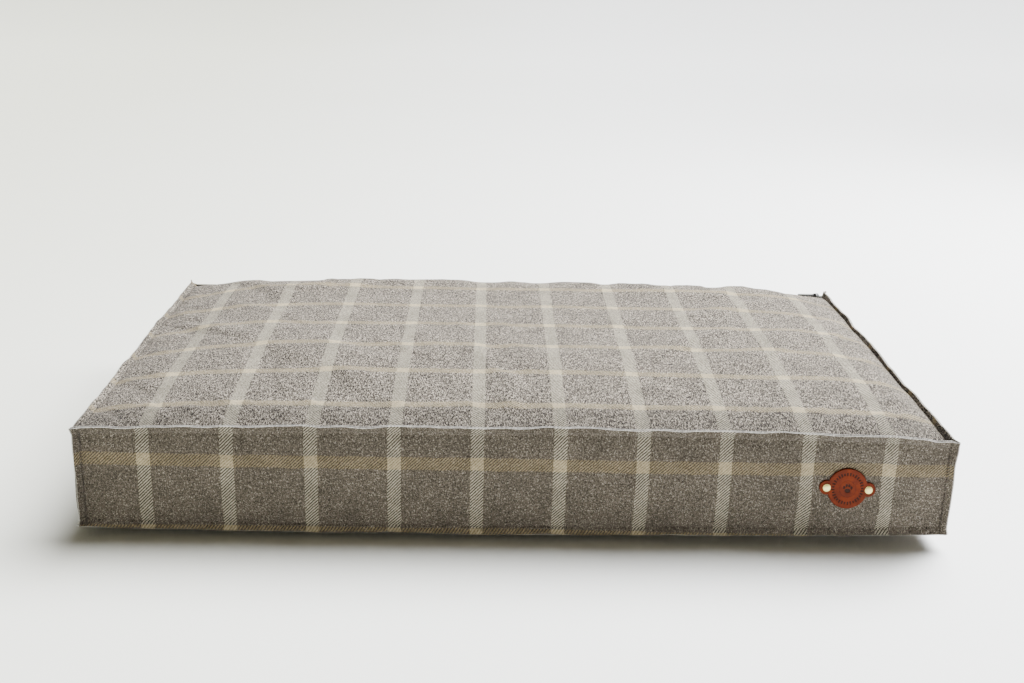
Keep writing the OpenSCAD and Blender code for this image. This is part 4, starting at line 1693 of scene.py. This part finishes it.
@dataclass
class Badge:
    """A round leather badge with two ears, each held by a domed brass cap.

    It lies on the front band, a little turned. Its marks are plain dashes and a paw.
    """

    disc: float = 21 * MM
    ear: float = 7.35 * MM
    ear_at: float = 21.8 * MM
    thick: float = 2.4 * MM
    tilt: float = math.radians(-2.5)
    cap: float = 4 * MM
    cap_high: float = 1.6 * MM
    roll: float = 0.75 * MM
    tuck: float = 0.35 * MM
    press: float = 0.4 * MM
    dash_at: float = 15.2 * MM
    dash_half: float = 0.8 * MM
    ring_at: float = 8.6 * MM
    angles: int = 560

    def __post_init__(self) -> None:
        """Finds the badge's middle from the frame, and the cloth behind it."""
        low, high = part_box("leather_badge")
        self.x, self.z = (low.x + high.x) / 2, (low.z + high.z) / 2
        self.seat = SIZES.half_d + SIZES.cloth + SIZES.seat_out + 0.05 * MM

    def on_band(self, x: Array, z: Array, out: Array) -> Array:
        """Returns points of the badge, turned by its tilt and leaning with the band.

        Args:
            x: Places across the badge from its middle.
            z: Places up it.
            out: Distances out of the band.

        Returns:
            The points as x, y, z.
        """
        c, s = math.cos(self.tilt), math.sin(self.tilt)
        across, up = c * x - s * z, s * x + c * z
        away = self.seat + out - SIZES.seat_lean * up
        return np.stack(np.broadcast_arrays(self.x + across, -away, self.z + up), -1)

    def outline(self, angle: Array) -> Array:
        """Returns the radius of the edge: the disc, or an ear's far side where that is further out.

        The two are joined softly, as the 24th root of the sum of their 24th powers.

        Args:
            angle: Angles round the badge.

        Returns:
            The radius at each angle.
        """
        nearest = np.abs((angle + math.pi / 2) % math.pi - math.pi / 2)
        under = np.clip(self.ear**2 - (self.ear_at * np.sin(nearest)) ** 2, 0, None)
        ear = np.where(under > 0, self.ear_at * np.cos(nearest) + np.sqrt(under), 0)
        return (self.disc**24 + ear**24) ** (1 / 24)

    def marks(self, x: Array, z: Array) -> Array:
        """Returns 1 inside a pressed mark and 0 outside: a circle of dashes, a ring and a paw.

        Args:
            x: Places across the badge from its middle.
            z: Places up it.

        Returns:
            The mask.
        """
        r, angle = np.hypot(x, z), np.arctan2(z, x)
        step = math.radians(11.25)
        off = np.abs((angle / step) % 1.0 - 0.5) * step * r
        long = np.where(np.floor(angle / step) % 3 == 0, 1.2, 1.65) * MM
        dash = soft(off - self.dash_half) * soft(np.abs(r - self.dash_at) - long)
        ring = 0.55 * soft(np.abs(r - self.ring_at) - 0.22 * MM)
        pads = [(0, -2.0, 3.0, 2.3), (-3.8, 1.2, 1.2, 1.7), (-1.4, 3.3, 1.2, 1.75), (1.4, 3.3, 1.2, 1.75),
                (3.8, 1.2, 1.2, 1.7)]
        paw = [
            soft((np.hypot((x / MM - a) / w, (z / MM - b) / h) - 1) * min(w, h) * MM)
            for a, b, w, h in pads
        ]
        return np.maximum.reduce([dash, ring, *paw])

    def leather(self) -> bpy.types.Object:
        """Makes the leather: rings of points from the middle of the back, round the edge, to the front."""
        angle = np.arange(self.angles) * math.tau / self.angles
        edge = self.outline(angle)
        bend = np.linspace(0, math.pi / 2, 6)[1:]
        roll, under = self.roll, self.tuck
        inward = np.concatenate([
            [0.5 * self.ear, under], under - under * np.sin(bend), roll - roll * np.cos(bend)])
        out = np.concatenate([
            [0, 0], under - under * np.cos(bend), self.thick - roll + roll * np.sin(bend)])
        shares = np.linspace(1, 0.0, 64)[1:-1]
        ring_r = np.concatenate([edge[None] - inward[:, None], shares[:, None] * (edge - roll)[None]])
        out = np.concatenate([out, np.full(len(shares), self.thick)])
        x, z = ring_r * np.cos(angle), ring_r * np.sin(angle)
        mark = self.marks(x, z) * (np.arange(len(out)) > len(inward))[:, None]
        from_edge = edge[None] - ring_r
        crease = np.exp(-(((from_edge - 1.3 * MM) / (0.35 * MM)) ** 2)) * (out > self.thick / 2)[:, None]
        points = self.on_band(x, z, out[:, None] - self.press * mark - 0.12 * MM * crease)
        number = np.arange(points[..., 0].size).reshape(1, *points.shape[:2])
        rim = np.clip(1 - from_edge / (1.1 * MM), 0, 1)
        maps = {"pressed": mark.ravel(), "rim": rim.ravel()}
        return make_mesh("badge_leather", points, ring_faces(number), maps)

    def caps(self) -> bpy.types.Object:
        """Makes the two caps: a low dome turned about its axis, with a groove near its rim."""
        share = np.array([1.0, 1.0, 0.985, 0.95, 0.9, 0.86, 0.83, 0.8, 0.74, 0.62, 0.48, 0.34, 0.2, 0.07])
        dome = 0.25 + 0.75 * np.sqrt(np.clip(1 - share**2, 0, 1))
        groove = 0.13 * np.exp(-(((share - 0.84) / 0.035) ** 2))
        out = (dome - groove) * self.cap_high
        out[0] = 0.0
        angle = np.arange(48) * math.tau / 48
        rows = []
        for sign in (-1, 1):
            x = sign * self.cap_x + share[:, None] * self.cap * np.cos(angle)
            z = share[:, None] * self.cap * np.sin(angle)
            rows.append(self.on_band(x, z, (self.thick - 0.05 * MM + out)[:, None]))
        points = np.stack(rows)
        number = np.arange(points[..., 0].size).reshape(points.shape[:3])
        return make_mesh("rivet_cap_domes", points, ring_faces(number))

    @property
    def cap_x(self) -> float:
        """Returns how far the rivets are from the middle of the badge."""
        low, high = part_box("rivet_caps")
        return (high.x - low.x) / 2 - self.cap

    def build(self) -> None:
        """Makes the badge and its rivets."""
        dress(self.leather(), Finish.LEATHER, "root", "leather_badge")
        dress(self.caps(), Finish.BRASS, "root", "rivet_caps")
        carry("rivet_posts", Finish.BRASS)


def soft(distance: Array, width: float = 0.12 * MM) -> Array:
    """Returns 1 where a distance is below 0 and 0 where it is above, with a soft change between."""
    return np.clip(0.5 - distance / (2 * width), 0, 1)


# ---------------------------------------------------------------- pad

@dataclass
class Pad:
    """The pad inside the cover: a cotton casing of three pieces, and its filling."""

    step: float = 9 * MM
    cotton: float = 0.5 * MM
    gap: float = 1.3 * MM

    def __post_init__(self) -> None:
        """Reads the casing's extents from the frame."""
        low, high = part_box("pad_casing_boxing")
        self.low, self.high = np.array(low), np.array(high)

    def face_height(self, cover: "Cover", xs: Array, ys: Array, top: bool, inset: float) -> Array:
        """Returns the height of the pad's face: the cover's inner side less a gap, drawn in to its seam.

        Args:
            cover: The cover round it.
            xs: Places across.
            ys: Places from front to back.
            top: Whether it is the upper face.
            inset: How far below the casing's own surface.

        Returns:
            The height at each point of the grid.
        """
        x, y = np.meshgrid(xs, ys)
        mid_y, half_y = (self.low[1] + self.high[1]) / 2, (self.high[1] - self.low[1]) / 2
        rise = (1 - np.abs(x / self.high[0]) ** 8) * (1 - np.abs((y - mid_y) / half_y) ** 5)
        share = np.clip(rise / 0.5, 0, 1)
        share = share * (2 - share)
        if top:
            inner = cover.top_at(xs, ys) - SIZES.cloth / 2 - self.gap - inset
            return self.high[2] - inset + share * (inner - self.high[2] + inset)
        inner = SIZES.cloth + 1.0 * MM + inset
        return self.low[2] + inset + share * (inner - self.low[2] - inset)

    def casing_face(self, cover: "Cover", top: bool) -> None:
        """Makes the casing's upper or lower piece.

        Args:
            cover: The cover round it.
            top: Whether it is the upper piece.
        """
        xs = np.linspace(self.low[0], self.high[0], 120)
        ys = np.linspace(self.low[1], self.high[1], 80)
        z = self.face_height(cover, xs, ys, top, 0.0)
        x, y = np.meshgrid(xs, ys)
        points = np.stack([x, y, z], -1)
        if not top:
            points = points[:, ::-1]
        half = np.full(z.shape, self.cotton / 2)
        close_rim(half)
        node = "pad_casing_top" if top else "pad_casing_bottom"
        piece = closed_sheet(f"{node}_cloth", points, half, points[..., :2])
        dress(piece, Finish.COTTON, "root", node)

    def casing_boxing(self) -> None:
        """Makes the casing's wall: a strip round the pad that swells by 1.2 mm, open by 1 mm at its seam."""
        w, d = self.high[0] - self.cotton, (self.high[1] - self.low[1]) / 2 - self.cotton
        middle, r = (self.high[1] + self.low[1]) / 2, 12 * MM
        turn = np.linspace(0, math.pi / 2, 8)
        parts = []
        for number, (a, b) in enumerate(((w, d), (-w, d), (-w, -d), (w, -d))):
            angle = turn + number * math.pi / 2
            corner = np.array([a - np.sign(a) * r, b - np.sign(b) * r])
            parts.append(corner + r * np.stack([np.cos(angle), np.sin(angle)], -1))
        ring = np.concatenate([[[w, 0.5 * MM]], *parts, [[w, -0.5 * MM]]])
        run = lengths(ring)
        steps = np.linspace(0, run[-1], 360)
        x, y = np.interp(steps, run, ring[:, 0]), np.interp(steps, run, ring[:, 1])
        zs = np.linspace(self.low[2], self.high[2], 14)
        t = (zs - zs[0]) / (zs[-1] - zs[0]) * 2 - 1
        swell = 1 + (1.2 * MM * (1 - t**2))[:, None] / w * (0.5 + 0.5 * np.sin(steps * 40.0))
        points = np.stack([x * swell, middle + y * swell, np.broadcast_to(zs[:, None], swell.shape)], -1)
        half = np.full(swell.shape, self.cotton / 2)
        close_rim(half)
        cloth = np.stack(np.broadcast_arrays(steps[None, :], zs[:, None]), -1)
        piece = closed_sheet("pad_casing_boxing_cloth", points, half, cloth)
        dress(piece, Finish.COTTON, "root", "pad_casing_boxing")

    def filling(self, cover: "Cover") -> None:
        """Makes the filling: a closed box whose faces follow the casing, with lumps of up to 1.5 mm.

        Args:
            cover: The cover round it.
        """
        inset = 1.0 * MM
        low, high = self.low + inset, self.high - inset
        counts = np.round((high - low) / self.step).astype(int)
        share, faces, _ = box_shell(counts)
        x, y = (low[a] + share[a] * (high[a] - low[a]) for a in (0, 1))
        xs, ys = (np.linspace(low[a], high[a], counts[a] + 1) for a in (0, 1))
        row = np.round(share[1] * counts[1]).astype(int)
        column = np.round(share[0] * counts[0]).astype(int)
        upper = self.face_height(cover, xs, ys, True, inset)[row, column]
        lower = self.face_height(cover, xs, ys, False, inset)[row, column]
        z = lower + share[2] * (upper - lower)
        lump = Cover.lumps(x * 2.0, y * 2.0 + z * 3.0, 31) * 0.5
        lump = 1 - np.clip(np.abs(lump), 0, 1.5 * MM) / high[0]
        middle = (low[1] + high[1]) / 2
        points = np.stack([x * lump, middle + (y - middle) * lump, z], -1)
        piece = dress(make_mesh("fibre_filling_wad", points, faces), Finish.FIBRE, "root", "fibre_filling")

    def build(self, cover: "Cover") -> None:
        """Makes the casing and its filling.

        Args:
            cover: The cover round them.
        """
        self.filling(cover)
        self.casing_face(cover, True)
        self.casing_face(cover, False)
        self.casing_boxing()


# ---------------------------------------------------------------- studio

def placed(right: Array, up: Array, back: Array, at: Sequence[float]) -> Matrix:
    """Returns the matrix of an object that stands at a point with its axes along three directions."""
    matrix = np.eye(4)
    matrix[:3] = np.stack([right, up, back, at], 1)
    return Matrix(matrix.tolist())


class LampKind(Enum):
    """What a lamp is: a patch of the sky, or a square panel."""

    SKY = "SUN"
    PANEL = "AREA"


@dataclass(frozen=True)
class Lamp:
    """A soft light. A patch of sky has its size in degrees, and a panel has its side in metres.

    The power is in watts, for each square metre if it is sky.
    """

    name: str
    kind: LampKind
    at: tuple[float, float, float]
    to: tuple[float, float, float]
    size: float
    power: float
    colour: tuple[float, float, float] = (0.965, 0.985, 1.0)

    def build(self) -> None:
        """Adds the light, facing the point that it shines on."""
        data = bpy.data.lights.new(self.name, self.kind.value)
        if self.kind is LampKind.SKY:
            data.angle = math.radians(self.size)
        else:
            data.size = self.size
        data.energy = self.power
        data.color = self.colour
        away = unit(np.array(self.at) - np.array(self.to))
        side = unit(np.cross([0.0, 1.0, 0.0], away))
        lamp = bpy.data.objects.new(self.name, data)
        lamp.matrix_world = placed(side, np.cross(away, side), away, self.at)
        bpy.context.scene.collection.objects.link(lamp)


@dataclass(frozen=True)
class Studio:
    """Camera, floor and soft light."""

    lens: float = 44.62
    stand: tuple[float, float, float] = (-0.0365, -1.4569, 0.6185)
    pitch: float = 0.3246
    yaw: float = 0.0233
    roll: float = 0.0252
    lamps: tuple[Lamp, ...] = (
        Lamp("sky_panel", LampKind.SKY, (0.50, 0.56, 1.0), (0.0, 0.0, 0.0), 46.0, 13.2),
        Lamp("near_panel", LampKind.PANEL, (1.7, 0.95, 1.5), (0.3, 0.0, 0.1), 1.1, 118.0),
    )
    air_colour: tuple[float, float, float] = (1.0, 0.88, 0.58)
    air_strength: float = 0.10

    def camera(self) -> None:
        """Sets up the camera: yaw turns it right, pitch down and roll anticlockwise."""
        data = bpy.data.cameras.new("camera")
        data.lens = self.lens
        data.sensor_width = 36.0
        camera = bpy.data.objects.new("camera", data)
        cp, sp, cy, sy = math.cos(self.pitch), math.sin(self.pitch), math.cos(self.yaw), math.sin(self.yaw)
        ahead = np.array([sy * cp, cy * cp, -sp])
        right = np.array([cy, -sy, 0.0])
        up = np.cross(right, ahead)
        turned_right = math.cos(self.roll) * right + math.sin(self.roll) * up
        turned_up = math.cos(self.roll) * up - math.sin(self.roll) * right
        camera.matrix_world = placed(turned_right, turned_up, -ahead, self.stand)
        bpy.context.scene.collection.objects.link(camera)
        bpy.context.scene.camera = camera

    def floor(self) -> None:
        """Makes the floor, which is level near the bed and curves up far away.

        Its height is the larger of 0.09 (y - 4.5)^2 behind the bed and 0.05 (r - 7)^2 all round, in metres.
        """
        x, y = np.meshgrid(np.linspace(-13, 13, 105), np.linspace(-13, 13, 105))
        behind = 0.09 * np.clip(y - 4.5, 0, None) ** 2
        rim = 0.05 * np.clip(np.hypot(x, y) - 7, 0, 6) ** 2
        z = np.maximum(behind, rim)
        floor = make_mesh("studio_floor", np.stack([x, y, z], -1), grid_faces(*x.shape))
        floor.data.materials.append(Floor().make())

    def build(self) -> None:
        """Makes the whole studio."""
        self.camera()
        self.floor()
        for lamp in self.lamps:
            lamp.build()
        world = bpy.data.worlds.new("studio_air")
        world.use_nodes = True
        air = world.node_tree.nodes["Background"]
        air.inputs["Color"].default_value = (*self.air_colour, 1.0)
        air.inputs["Strength"].default_value = self.air_strength
        bpy.context.scene.world = world


def main() -> None:
    """Builds the studio and then the bed, piece by piece."""
    logging.basicConfig(level=logging.INFO, format="%(name)s: %(message)s")
    Studio().build()
    LOOSE.simulate()
    cover = Cover()
    cover.build()
    Topstitching().build(cover)
    Zip().build()
    Badge().build()
    Pad().build(cover)
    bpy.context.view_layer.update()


if __name__ == "__main__":
    main()
